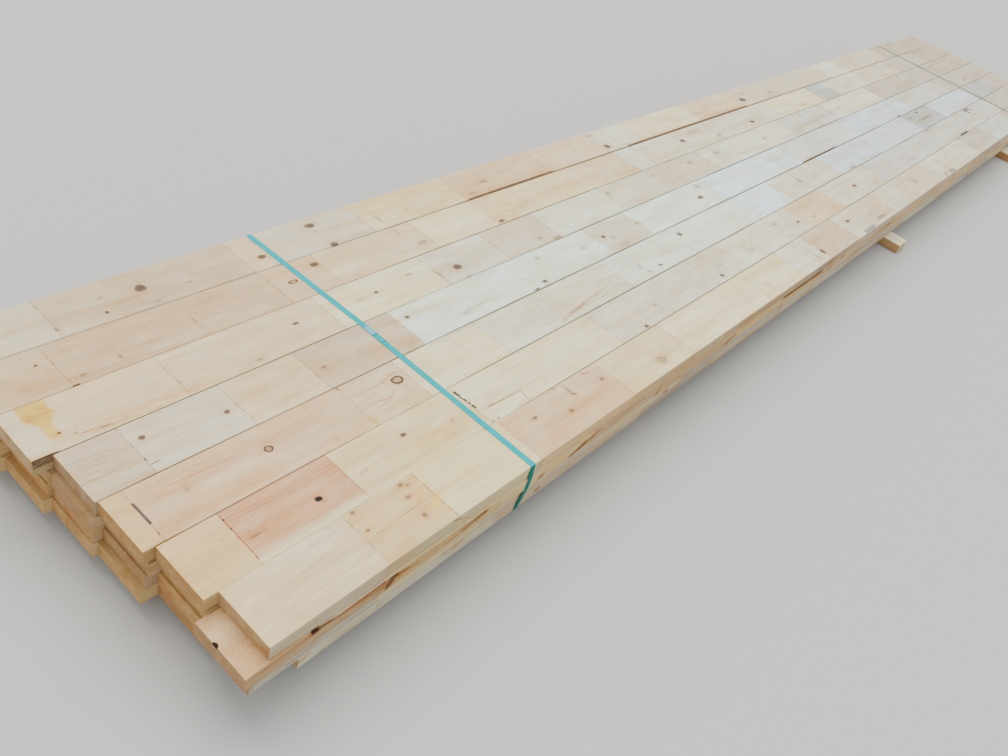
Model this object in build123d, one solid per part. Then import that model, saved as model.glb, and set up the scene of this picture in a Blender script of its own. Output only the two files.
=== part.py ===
from build123d import *
import os
from math import sin, pi

# Strapped stack of finger-jointed softwood boards lying flat on three bearers.
# Units are millimetres.  The stack is laid out in its own stack coordinates:
#   x = 0 at the near end of the right-hand top board, running along the boards
#   y = 0 at the right-hand edge of the top layer, running across the boards
#   z = 0 at the floor
# and every solid is then shifted so that the origin is the bottom centre of
# the whole assembly's box.

# ---------------------------------------------------------------- dimensions
BOARD_W = 140.0            # dressed width of a nominal 6 in board
BOARD_T = 38.0             # dressed thickness of a nominal 2 in board
BOARD_L = 6096.0           # 20 ft nominal length
EASE = 2.2                 # radius of the eased long edges
COLUMNS = 7                # boards side by side in a layer
LAYERS = 4                 # layers

BEARER_H = 38.0            # bearers are dressed 2 in stock laid flat
BEARER_LEN = 1150.0
BEARER_RIGHT = -72.0       # right-hand end of the two bearers that stick out
BEARER_EASE = 3.0
NEAR_BEARER_X, NEAR_BEARER_W = 1250.0, 89.0
NEAR_BEARER_RIGHT, NEAR_BEARER_LEN = 40.0, 900.0
MIDDLE_BEARER_X, MIDDLE_BEARER_W = 3202.0, 89.0
FAR_BEARER_X, FAR_BEARER_W = 5160.0, 140.0

STRAP_W = 16.0             # polyester strap, 5/8 in
STRAP_T = 0.9
STRAP_CLEAR = 0.2          # stand-off from the boards
# where each strap goes down the right and the left side; the near one is
# square to the boards as far as its knee, the far one is out of square
NEAR_STRAP_RIGHT_X, NEAR_STRAP_LEFT_X, NEAR_STRAP_KNEE_Y = 697.0, 685.0, 560.0
FAR_STRAP_RIGHT_X, FAR_STRAP_LEFT_X = 5290.0, 5370.0
OVERLAP_Y0, OVERLAP_Y1 = 470.0, 556.0   # welded overlap of the near strap's ends
FAR_OVERLAP_Y0, FAR_OVERLAP_Y1 = 610.0, 700.0

# near-end position of every board, right-hand board first (x of its end)
NEAR_ENDS = {
    "top":    [0.0, -29.0, -52.0, -57.0, -94.0, -98.0, -68.0],
    "second": [-49.0, -19.0, -42.0, -68.0, -70.0, -84.0, -41.0],
    "third":  [-34.0, -24.0, -46.0, -64.0, -73.0, -90.0, -58.0],
    "bottom": [75.0, -22.0, -57.0, -68.0, -85.0, -104.0, -47.0],
}
# length beyond BOARD_L that each board was left at, right-hand board first
OVER_LENGTH = {
    "top":    [0.0, 0.0, 6.0, 0.0, 36.0, 46.0, 0.0],
    "second": [22.0, 4.0, 10.0, 18.0, 24.0, 34.0, 6.0],
    "third":  [14.0, 10.0, 16.0, 12.0, 30.0, 38.0, 20.0],
    "bottom": [0.0, 14.0, 24.0, 8.0, 30.0, 40.0, 12.0],
}
# y of the right-hand edge of each layer's first board, and the gaps between
# one board and the next
FIRST_EDGE = {"top": 0.0, "second": -5.5, "third": 0.5, "bottom": 2.0}
GAPS = {
    "top":    [0.6, 1.4, 1.7, 1.5, 1.5, 2.2],
    "second": [1.5, 1.0, 2.4, 1.2, 1.6, 2.0],
    "third":  [1.2, 1.8, 1.0, 2.2, 1.0, 1.6],
    "bottom": [0.4, 0.4, 0.4, 0.4, 0.6, 0.8],
}
# sideways crook of each top board at mid-length, so the seams open there
TOP_CROOK = [-6.0, -5.0, -3.8, -1.8, -0.2, 1.2, 4.6]
CROOK_X0, CROOK_X1 = 300.0, 5500.0
CROOK_STATIONS = [900.0, 1500.0, 2200.0, 2900.0, 3600.0, 4300.0, 4900.0]

LAYER_NAMES = ["top", "second", "third", "bottom"]

# wane: stretches where the log's own surface takes the right-hand top edge off
# a board: (board, from x, to x, width on the face, depth on the side)
WANES = [
    ("top_board_7", 1388.0, 1846.0, 5.0, 11.0),
    ("top_board_7", 2296.0, 3322.0, 5.5, 12.0),
    ("top_board_5", -130.0, -40.0, 3.0, 17.0),
    ("top_board_4", 3028.0, 3392.0, 4.5, 8.0),
    ("top_board_2", 4425.0, 4575.0, 9.0, 9.0),
    ("top_board_1", 2712.0, 2838.0, 17.0, 7.0),
    ("top_board_1", 3812.0, 3908.0, 23.0, 8.0),
    ("second_board_1", 38.0, 150.0, 5.0, 7.5),
    ("second_board_1", 2000.0, 2380.0, 4.5, 7.0),
]
WANE_SHAPE = [(0.0, 0.0), (0.1, 0.55), (0.27, 0.9), (0.45, 1.0), (0.62, 0.82),
              (0.8, 0.95), (0.92, 0.5), (1.0, 0.0)]
WANE_START = 1.1           # below this the eased corner is whole

# --------------------------------------------------------- derived positions
X_MIN = min(min(v) for v in NEAR_ENDS.values())
X_MAX = max(NEAR_ENDS[n][k] + BOARD_L + OVER_LENGTH[n][k]
            for n in LAYER_NAMES for k in range(COLUMNS))
Y_MIN = BEARER_RIGHT
Y_MAX = BEARER_RIGHT + BEARER_LEN
SHIFT = Vector(-(X_MIN + X_MAX) / 2, -(Y_MIN + Y_MAX) / 2, 0)


def layer_bottom(i):
    """Underside of layer i, counted from the top."""
    return BEARER_H + (LAYERS - 1 - i) * BOARD_T


def crook(x, amount):
    if x <= CROOK_X0 or x >= CROOK_X1:
        return 0.0
    return amount * sin(pi * (x - CROOK_X0) / (CROOK_X1 - CROOK_X0))


def section(x, y_right, z_bottom, w, t, ease):
    """Dressed section with eased corners, in the plane square to x."""
    plane = Plane(origin=(x, y_right + w / 2, z_bottom + t / 2),
                  x_dir=(0, 1, 0), z_dir=(1, 0, 0))
    return plane * RectangleRounded(w, t, ease)


def straight_board(x0, length, y_right, z_bottom, w=BOARD_W, t=BOARD_T, ease=EASE):
    return extrude(section(x0, y_right, z_bottom, w, t, ease), amount=length, dir=(1, 0, 0))


def crooked_board(x0, length, y_right, z_bottom, amount):
    xs = [x0, CROOK_X0] + CROOK_STATIONS + [CROOK_X1, x0 + length]
    secs = [section(x, y_right + crook(x, amount), z_bottom, BOARD_W, BOARD_T, EASE)
            for x in xs]
    return loft(secs, ruled=True)


def cut_wane(board, edge_y, z_top, x0, x1, w, d):
    """Takes a long tapered sliver off the right-hand top edge of a board."""
    secs = []
    for t, s in WANE_SHAPE:
        x = x0 + t * (x1 - x0)
        a = WANE_START + (w - WANE_START) * s
        b = WANE_START + (d - WANE_START) * s
        reach = 3.0 / (a * a + b * b) ** 0.5
        y = edge_y(x)
        secs.append(Plane(origin=(x, 0, 0), x_dir=(0, 1, 0), z_dir=(1, 0, 0)) * Polygon(
            (y + a + a * reach, z_top + b * reach),
            (y - 4.0, z_top + 4.0),
            (y - a * reach, z_top - b - b * reach), align=None))
    return board - loft(secs, ruled=True)


def right_edges(name):
    ys = [FIRST_EDGE[name]]
    for g in GAPS[name]:
        ys.append(ys[-1] + BOARD_W + g)
    return ys


def bearer(x_mid, w, y_right, length):
    plane = Plane(origin=(x_mid, y_right, BEARER_H / 2), x_dir=(1, 0, 0), z_dir=(0, -1, 0))
    return extrude(plane * RectangleRounded(w, BEARER_H, BEARER_EASE),
                   amount=length, dir=(0, 1, 0))


def strap(x_right, x_left, knee, overlap):
    """Closed loop drawn tight round the stack, with its two ends welded where
    they overlap on top.  It follows the outline through the centres of the
    outermost eased corners, so its bends have the boards' own radius.  It goes
    down the two sides at x_right and x_left.  Its top run is square to the
    boards up to y = knee and slants from there on."""
    x_mid = (x_right + x_left) / 2

    def out_right(i, x):
        y = FIRST_EDGE[LAYER_NAMES[i]]
        return y + (crook(x, TOP_CROOK[0]) if i == 0 else 0.0)

    def out_left(i, x):
        y = right_edges(LAYER_NAMES[i])[-1] + BOARD_W
        return y + (crook(x, TOP_CROOK[-1]) if i == 0 else 0.0)

    zt = BEARER_H + LAYERS * BOARD_T
    e = EASE
    right = [(out_right(0, x_mid) + e, zt - e)]
    left = [(out_left(0, x_mid) - e, zt - e)]
    for i in range(LAYERS):
        zb = layer_bottom(i)
        for z in (zb + BOARD_T - e, zb + e):
            right.append((out_right(i, x_mid) + e, z))
            left.append((out_left(i, x_mid) - e, z))
    pts = hull2d(right + left)
    core = Polygon(*pts, align=None)
    inner = offset(core, e + STRAP_CLEAR, kind=Kind.ARC)
    outer = offset(core, e + STRAP_CLEAR + STRAP_T, kind=Kind.ARC)
    ring = outer - inner

    def loop(x):
        plane = Plane(origin=(x - STRAP_W / 2, 0, 0), x_dir=(0, 1, 0), z_dir=(1, 0, 0))
        return extrude(plane * ring, amount=STRAP_W, dir=(1, 0, 0))

    def run(ya, yb, xa, xb, z):
        """Flat run whose two ends stay parallel to the boards."""
        h = STRAP_W / 2
        quad = Polygon((xa - h, ya), (xa + h, ya), (xb + h, yb), (xb - h, yb), align=None)
        return extrude(Plane(origin=(0, 0, z)) * quad, amount=STRAP_T, dir=(0, 0, 1))

    z_top = zt + STRAP_CLEAR
    z_low = BEARER_H - STRAP_CLEAR - STRAP_T
    y_right = right[0][0] + 20.0
    y_left = left[0][0] - 20.0
    y_knee = max(knee, y_right)

    def at(y):
        if y <= y_knee:
            return x_right
        return x_right + (x_left - x_right) * (y - y_knee) / (y_left - y_knee)
    far = 10 * BEARER_LEN
    keep_right = Pos(x_right, y_right - far / 2, 0) * Box(BEARER_LEN, far, far)
    keep_left = Pos(x_left, y_left + far / 2, 0) * Box(BEARER_LEN, far, far)
    body = (loop(x_right) & keep_right) + (loop(x_left) & keep_left)
    if y_knee > y_right:
        body = body + run(y_right, y_knee, x_right, x_right, z_top)
    body = body + run(y_knee, y_left, x_right, x_left, z_top)
    body = body + run(y_right, y_left, x_right, x_left, z_low)
    y0, y1 = overlap
    return body + run(y0, y1, at(y0), at(y1), z_top + STRAP_T)


def hull2d(points):
    """Counter-clockwise convex outline of a set of points."""
    ps = sorted(set((round(a, 4), round(b, 4)) for a, b in points))

    def half(seq):
        out = []
        for p in seq:
            while len(out) > 1 and ((out[-1][0] - out[-2][0]) * (p[1] - out[-2][1])
                                    - (out[-1][1] - out[-2][1]) * (p[0] - out[-2][0])) <= 1e-6:
                out.pop()
            out.append(p)
        return out[:-1]
    return half(ps) + half(ps[::-1])


parts = {}
for i, name in enumerate(LAYER_NAMES):
    ys = right_edges(name)
    for k in range(COLUMNS):
        x0 = NEAR_ENDS[name][k]
        length = BOARD_L + OVER_LENGTH[name][k]
        if name == "top":
            solid = crooked_board(x0, length, ys[k], layer_bottom(i), TOP_CROOK[k])
        else:
            solid = straight_board(x0, length, ys[k], layer_bottom(i))
        node = f"{name}_board_{k + 1}"
        bow = TOP_CROOK[k] if name == "top" else 0.0
        for waned, wa, wb, wide, deep in WANES:
            if waned == node:
                solid = cut_wane(solid, lambda x, y=ys[k], b=bow: y + crook(x, b),
                                 layer_bottom(i) + BOARD_T, wa, wb, wide, deep)
        parts[node] = solid

parts["near_bearer"] = bearer(NEAR_BEARER_X, NEAR_BEARER_W, NEAR_BEARER_RIGHT, NEAR_BEARER_LEN)
parts["middle_bearer"] = bearer(MIDDLE_BEARER_X, MIDDLE_BEARER_W, BEARER_RIGHT, BEARER_LEN)
parts["far_bearer"] = bearer(FAR_BEARER_X, FAR_BEARER_W, BEARER_RIGHT, BEARER_LEN)
parts["near_strap"] = strap(NEAR_STRAP_RIGHT_X, NEAR_STRAP_LEFT_X, NEAR_STRAP_KNEE_Y,
                            (OVERLAP_Y0, OVERLAP_Y1))
parts["far_strap"] = strap(FAR_STRAP_RIGHT_X, FAR_STRAP_LEFT_X, 0.0,
                           (FAR_OVERLAP_Y0, FAR_OVERLAP_Y1))

os.makedirs("parts", exist_ok=True)
for node, shape in parts.items():
    solids = shape.solids() if hasattr(shape, "solids") else [shape]
    placed = Pos(SHIFT.X, SHIFT.Y, SHIFT.Z) * (solids[0] if len(solids) == 1 else Compound(children=solids))
    placed.label = node
    export_step(placed, f"parts/{node}.step")
print("shift", SHIFT, "x", X_MIN, X_MAX, "y", Y_MIN, Y_MAX)
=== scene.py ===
import bpy
import math
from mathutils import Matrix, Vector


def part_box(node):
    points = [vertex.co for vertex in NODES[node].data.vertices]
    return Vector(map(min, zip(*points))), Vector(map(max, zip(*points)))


# Strapped stack of finger-jointed softwood boards on bearers.
# All lengths are metres.  Boards are described in the stack's own coordinates:
# x along the boards from the near end of the right-hand top board, y across
# them from the right-hand edge of the top layer, z up from the floor.

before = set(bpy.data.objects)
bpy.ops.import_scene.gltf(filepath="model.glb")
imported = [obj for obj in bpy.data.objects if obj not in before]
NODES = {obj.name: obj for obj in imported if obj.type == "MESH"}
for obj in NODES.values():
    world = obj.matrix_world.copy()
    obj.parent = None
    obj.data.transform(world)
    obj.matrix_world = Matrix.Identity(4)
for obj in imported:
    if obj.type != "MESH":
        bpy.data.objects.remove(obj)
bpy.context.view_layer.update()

SHIFT_X, SHIFT_Y = 3.0335, 0.503          # row frame -> stack coordinates
BOARD_W, BOARD_T = 0.140, 0.038
CROOK_X0, CROOK_X1 = 0.300, 5.500
TOP_RIGHT = [0.0, 0.1406, 0.2820, 0.4237, 0.5652, 0.7067, 0.8489]
TOP_CROOK = [-0.0060, -0.0050, -0.0038, -0.0018, -0.0002, 0.0012, 0.0046]
NEAR_ENDS = [0.0, -0.029, -0.052, -0.057, -0.094, -0.098, -0.068]
LOWER_ENDS = {
    "second": [-0.049, -0.019, -0.042, -0.068, -0.070, -0.084, -0.041],
    "third":  [-0.034, -0.024, -0.046, -0.064, -0.073, -0.090, -0.058],
    "bottom": [0.075, -0.022, -0.057, -0.068, -0.085, -0.104, -0.047],
}
LAYERS = {"top": 0.152, "second": 0.114, "third": 0.076, "bottom": 0.038}
FIRST_EDGE = {"top": 0.0, "second": -0.0055, "third": 0.0005, "bottom": 0.002}
GAPS = {
    "top":    [0.0006, 0.0014, 0.0017, 0.0015, 0.0015, 0.0022],
    "second": [0.0015, 0.0010, 0.0024, 0.0012, 0.0016, 0.0020],
    "third":  [0.0012, 0.0018, 0.0010, 0.0022, 0.0010, 0.0016],
    "bottom": [0.0004, 0.0004, 0.0004, 0.0004, 0.0006, 0.0008],
}


def right_edge(layer, k):
    return FIRST_EDGE[layer] + sum(GAPS[layer][:k]) + BOARD_W * k


# ------------------------------------------------------------------ colours
def linear(c):
    out = []
    for v in c:
        v = v / 255.0
        out.append(v / 12.92 if v <= 0.04045 else ((v + 0.055) / 1.055) ** 2.4)
    return tuple(out) + (1.0,)


# reflectance of the bare wood, from warm to blue-grey
TONES = {
    "cream": (0.767, 0.605, 0.314),
    "pale": (0.804, 0.701, 0.414),
    "palewarm": (0.796, 0.660, 0.342),
    "yellow": (0.732, 0.538, 0.258),
    "butter": (0.721, 0.496, 0.231),
    "white": (0.737, 0.711, 0.527),
    "whitewarm": (0.713, 0.643, 0.469),
    "bluewhite": (0.703, 0.824, 0.793),
    "lilac": (0.642, 0.693, 0.692),
    "grey": (0.627, 0.601, 0.487),
    "greytan": (0.570, 0.489, 0.367),
    "greyblue": (0.478, 0.485, 0.426),
    "pink": (0.710, 0.501, 0.281),
    "pinkpale": (0.746, 0.581, 0.340),
    "pinkgrey": (0.684, 0.572, 0.391),
    "peach": (0.641, 0.462, 0.263),
    "salmon": (0.668, 0.396, 0.214),
    "tan": (0.634, 0.497, 0.311),
    "tanpink": (0.548, 0.455, 0.302),
    "sand": (0.670, 0.565, 0.380),
    "clear": (0.755, 0.800, 0.650),
    "cool": (0.665, 0.660, 0.590),
}


def tone(name):
    return TONES[name] + (1.0,)


# ------------------------------------------------------------- node helper
class Nodes:
    def __init__(self, tree):
        self.tree = tree
        self.count = 0

    def new(self, kind, **props):
        n = self.tree.nodes.new(kind)
        for k, v in props.items():
            setattr(n, k, v)
        n.location = (190 * (self.count % 30), -220 * (self.count // 30))
        self.count += 1
        return n

    def feed(self, socket, value):
        if isinstance(value, bpy.types.NodeSocket):
            self.tree.links.new(value, socket)
        elif value is not None:
            socket.default_value = value

    def math(self, op, a, b=None, c=None, clamp=False):
        n = self.new("ShaderNodeMath", operation=op, use_clamp=clamp)
        for i, v in enumerate((a, b, c)):
            self.feed(n.inputs[i], v)
        return n.outputs[0]

    def add(self, a, b):
        return self.math("ADD", a, b)

    def sub(self, a, b):
        return self.math("SUBTRACT", a, b)

    def mul(self, a, b):
        return self.math("MULTIPLY", a, b)

    def div(self, a, b):
        return self.math("DIVIDE", a, b)

    def top(self, a, b):
        return self.math("MAXIMUM", a, b)

    def low(self, a, b):
        return self.math("MINIMUM", a, b)

    def inv(self, a):
        return self.math("SUBTRACT", 1.0, a)

    def mad(self, a, b, c):
        return self.math("MULTIPLY_ADD", a, b, c)

    def length(self, a, b):
        return self.math("SQRT", self.add(self.mul(a, a), self.mul(b, b)))

    def smooth(self, v, lo, hi, out_lo=0.0, out_hi=1.0):
        n = self.new("ShaderNodeMapRange", interpolation_type="SMOOTHSTEP", clamp=True)
        self.feed(n.inputs["Value"], v)
        self.feed(n.inputs["From Min"], lo)
        self.feed(n.inputs["From Max"], hi)
        self.feed(n.inputs["To Min"], out_lo)
        self.feed(n.inputs["To Max"], out_hi)
        return n.outputs[0]

    def linear_map(self, v, lo, hi, out_lo=0.0, out_hi=1.0):
        n = self.new("ShaderNodeMapRange", interpolation_type="LINEAR", clamp=True)
        self.feed(n.inputs["Value"], v)
        self.feed(n.inputs["From Min"], lo)
        self.feed(n.inputs["From Max"], hi)
        self.feed(n.inputs["To Min"], out_lo)
        self.feed(n.inputs["To Max"], out_hi)
        return n.outputs[0]

    def join(self, x, y, z):
        n = self.new("ShaderNodeCombineXYZ")
        for i, v in enumerate((x, y, z)):
            self.feed(n.inputs[i], v)
        return n.outputs[0]

    def split(self, v):
        n = self.new("ShaderNodeSeparateXYZ")
        self.feed(n.inputs[0], v)
        return n.outputs[0], n.outputs[1], n.outputs[2]

    def noise(self, vec, scale=1.0, detail=2.0, rough=0.5, dims="3D", w=None, color=False):
        n = self.new("ShaderNodeTexNoise", noise_dimensions=dims)
        if vec is not None:
            self.feed(n.inputs["Vector"], vec)
        if w is not None:
            self.feed(n.inputs["W"], w)
        n.inputs["Scale"].default_value = scale
        n.inputs["Detail"].default_value = detail
        n.inputs["Roughness"].default_value = rough
        return n.outputs["Color"] if color else n.outputs[0]

    def random(self, vec):
        n = self.new("ShaderNodeTexWhiteNoise", noise_dimensions="3D")
        self.feed(n.inputs["Vector"], vec)
        s = self.new("ShaderNodeSeparateColor")
        self.feed(s.inputs[0], n.outputs["Color"])
        return s.outputs[0], s.outputs[1], s.outputs[2]

    def mix(self, f, a, b, blend="MIX"):
        n = self.new("ShaderNodeMix", data_type="RGBA", blend_type=blend)
        self.feed(n.inputs[0], f)
        self.feed(n.inputs[6], a)
        self.feed(n.inputs[7], b)
        return n.outputs[2]

    def steps(self, f, stops):
        """Constant ramp: stops are (position, colour)."""
        n = self.new("ShaderNodeValToRGB")
        r = n.color_ramp
        r.interpolation = "CONSTANT"
        while len(r.elements) < len(stops):
            r.elements.new(0.5)
        for e, (p, c) in zip(r.elements, sorted(stops, key=lambda t: t[0])):
            e.position = p
        for e, (p, c) in zip(r.elements, sorted(stops, key=lambda t: t[0])):
            e.color = tuple(c)[:3] + (1.0,)
        self.feed(n.inputs[0], f)
        return n.outputs[0]

    def group(self, name, **inputs):
        n = self.new("ShaderNodeGroup")
        n.node_tree = bpy.data.node_groups[name]
        for k, v in inputs.items():
            self.feed(n.inputs[k], v)
        return n


def make_group(name, ins, outs):
    g = bpy.data.node_groups.new(name, "ShaderNodeTree")
    for kind, n, default in ins:
        s = g.interface.new_socket(n, in_out="INPUT", socket_type=kind)
        if default is not None:
            s.default_value = default
    for kind, n in outs:
        g.interface.new_socket(n, in_out="OUTPUT", socket_type=kind)
    w = Nodes(g)
    i = w.new("NodeGroupInput")
    o = w.new("NodeGroupOutput")
    return w, i.outputs, o.inputs


F, C, V = "NodeSocketFloat", "NodeSocketColor", "NodeSocketVector"


# --------------------------------------------------------------- solid wood
# Growth rings are cylinders round a pith that lies near the board and runs a
# little out of true, so the faces show straight, cathedral or end grain as a
# sawn board does.
def build_wood_group():
    w, i, o = make_group("wood", [
        (F, "U", 0.0), (F, "X", 0.0), (F, "Y", 0.0), (F, "Z", 0.0),
        (F, "Id", 0.0), (F, "Seed", 0.0), (F, "Bend", 0.0)],
        [(F, "Late"), (F, "Fibre"), (F, "Streak"), (F, "Rand"), (F, "Fine")])
    key = w.join(i["Id"], i["Seed"], 3.1)
    r1, r2, r3 = w.random(key)
    r4, r5, r6 = w.random(w.join(w.add(i["Id"], 31.7), i["Seed"], 9.4))
    py = w.mad(w.sub(r1, 0.5), 0.17, 0.07)
    # pith between 12 and 90 mm off the board's middle, above or below
    side = w.mad(w.math("GREATER_THAN", r4, 0.5), 2.0, -1.0)
    pz = w.mad(w.mul(side, w.mad(r2, 0.052, 0.010)), 1.0, 0.019)
    ty = w.mul(w.sub(r3, 0.5), 0.09)
    tz = w.mul(w.sub(r5, 0.5), 0.11)
    off = w.mul(i["Id"], 7.31)
    warp_at = w.join(w.mad(i["X"], 2.6, off), w.mad(i["Y"], 17.0, i["Seed"]), w.mul(i["Z"], 17.0))
    warp = w.mul(w.sub(w.noise(warp_at, 1.0, 3.0, 0.5), 0.5), 0.024)
    dy = w.sub(w.sub(i["Y"], py), w.mul(i["U"], ty))
    dz = w.sub(w.sub(i["Z"], pz), w.mul(i["U"], tz))
    r = w.add(w.add(w.length(dy, dz), warp), i["Bend"])
    q = w.div(r, w.mad(r6, 0.0034, 0.0026))
    f = w.math("FRACT", q)
    late = w.mul(w.smooth(f, 0.25, 0.86), w.smooth(f, 0.90, 1.0, 1.0, 0.0))
    vary = w.new("ShaderNodeTexWhiteNoise", noise_dimensions="1D")
    w.feed(vary.inputs["W"], w.add(w.math("FLOOR", q), w.mul(i["Id"], 3.7)))
    late = w.mul(late, w.mad(vary.outputs["Value"], 0.85, 0.20))
    come = w.noise(w.join(w.mad(i["X"], 4.5, off), w.mad(i["Y"], 24.0, i["Seed"]), w.mul(i["Z"], 24.0)), 1.0, 2.0, 0.5)
    late = w.mul(late, w.smooth(come, 0.36, 0.62, 0.25, 1.25))
    w.feed(o["Late"], late)
    fib_at = w.join(w.mad(i["X"], 11.0, off), w.mul(i["Y"], 620.0), w.mul(i["Z"], 620.0))
    w.feed(o["Fibre"], w.sub(w.noise(fib_at, 1.0, 3.0, 0.62), 0.5))
    st_at = w.join(w.mad(i["X"], 1.7, off), w.mad(i["Y"], 34.0, i["Seed"]), w.mul(i["Z"], 34.0))
    w.feed(o["Streak"], w.sub(w.noise(st_at, 1.0, 3.0, 0.55), 0.5))
    fine_at = w.join(w.mad(i["X"], 160.0, off), w.mul(i["Y"], 420.0), w.mul(i["Z"], 420.0))
    w.feed(o["Fine"], w.sub(w.noise(fine_at, 1.0, 2.0, 0.6), 0.5))
    w.feed(o["Rand"], r4)


# A knot: a dark or ringed oval that pushes the rings aside.  Dark, Ring, Halo
# and Bend run through the chain of a board's knots.
def build_knot_group():
    w, i, o = make_group("knot", [
        (F, "X", 0.0), (F, "Y", 0.0), (F, "Wob", 0.0),
        (F, "CX", 0.0), (F, "CY", 0.0), (F, "RX", 0.01), (F, "RY", 0.01),
        (F, "Core", 1.0), (F, "Rim", 0.5), (F, "Glow", 0.5),
        (F, "Dark", 0.0), (F, "Ring", 0.0), (F, "Halo", 0.0), (F, "Bend", 0.0)],
        [(F, "Dark"), (F, "Ring"), (F, "Halo"), (F, "Bend")])
    dx = w.div(w.sub(i["X"], i["CX"]), i["RX"])
    dy = w.div(w.sub(i["Y"], i["CY"]), i["RY"])
    d = w.add(w.length(dx, dy), w.mul(i["Wob"], 0.75))
    core = w.mul(w.smooth(d, 0.55, 1.05, 1.0, 0.0), i["Core"])
    rim = w.mul(w.mul(w.smooth(d, 0.56, 0.80), w.smooth(d, 1.00, 1.30, 1.0, 0.0)), i["Rim"])
    halo = w.mul(w.smooth(d, 0.8, 3.4, 1.0, 0.0), i["Glow"])
    hx = w.mul(dx, 0.42)
    fall = w.math("EXPONENT", w.mul(w.add(w.mul(hx, hx), w.mul(w.mul(dy, dy), 0.22)), -1.0))
    bend = w.mul(w.mul(fall, i["RY"]), 1.15)
    w.feed(o["Dark"], w.top(i["Dark"], core))
    w.feed(o["Ring"], w.top(i["Ring"], rim))
    w.feed(o["Halo"], w.top(i["Halo"], halo))
    w.feed(o["Bend"], w.add(i["Bend"], bend))


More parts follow.
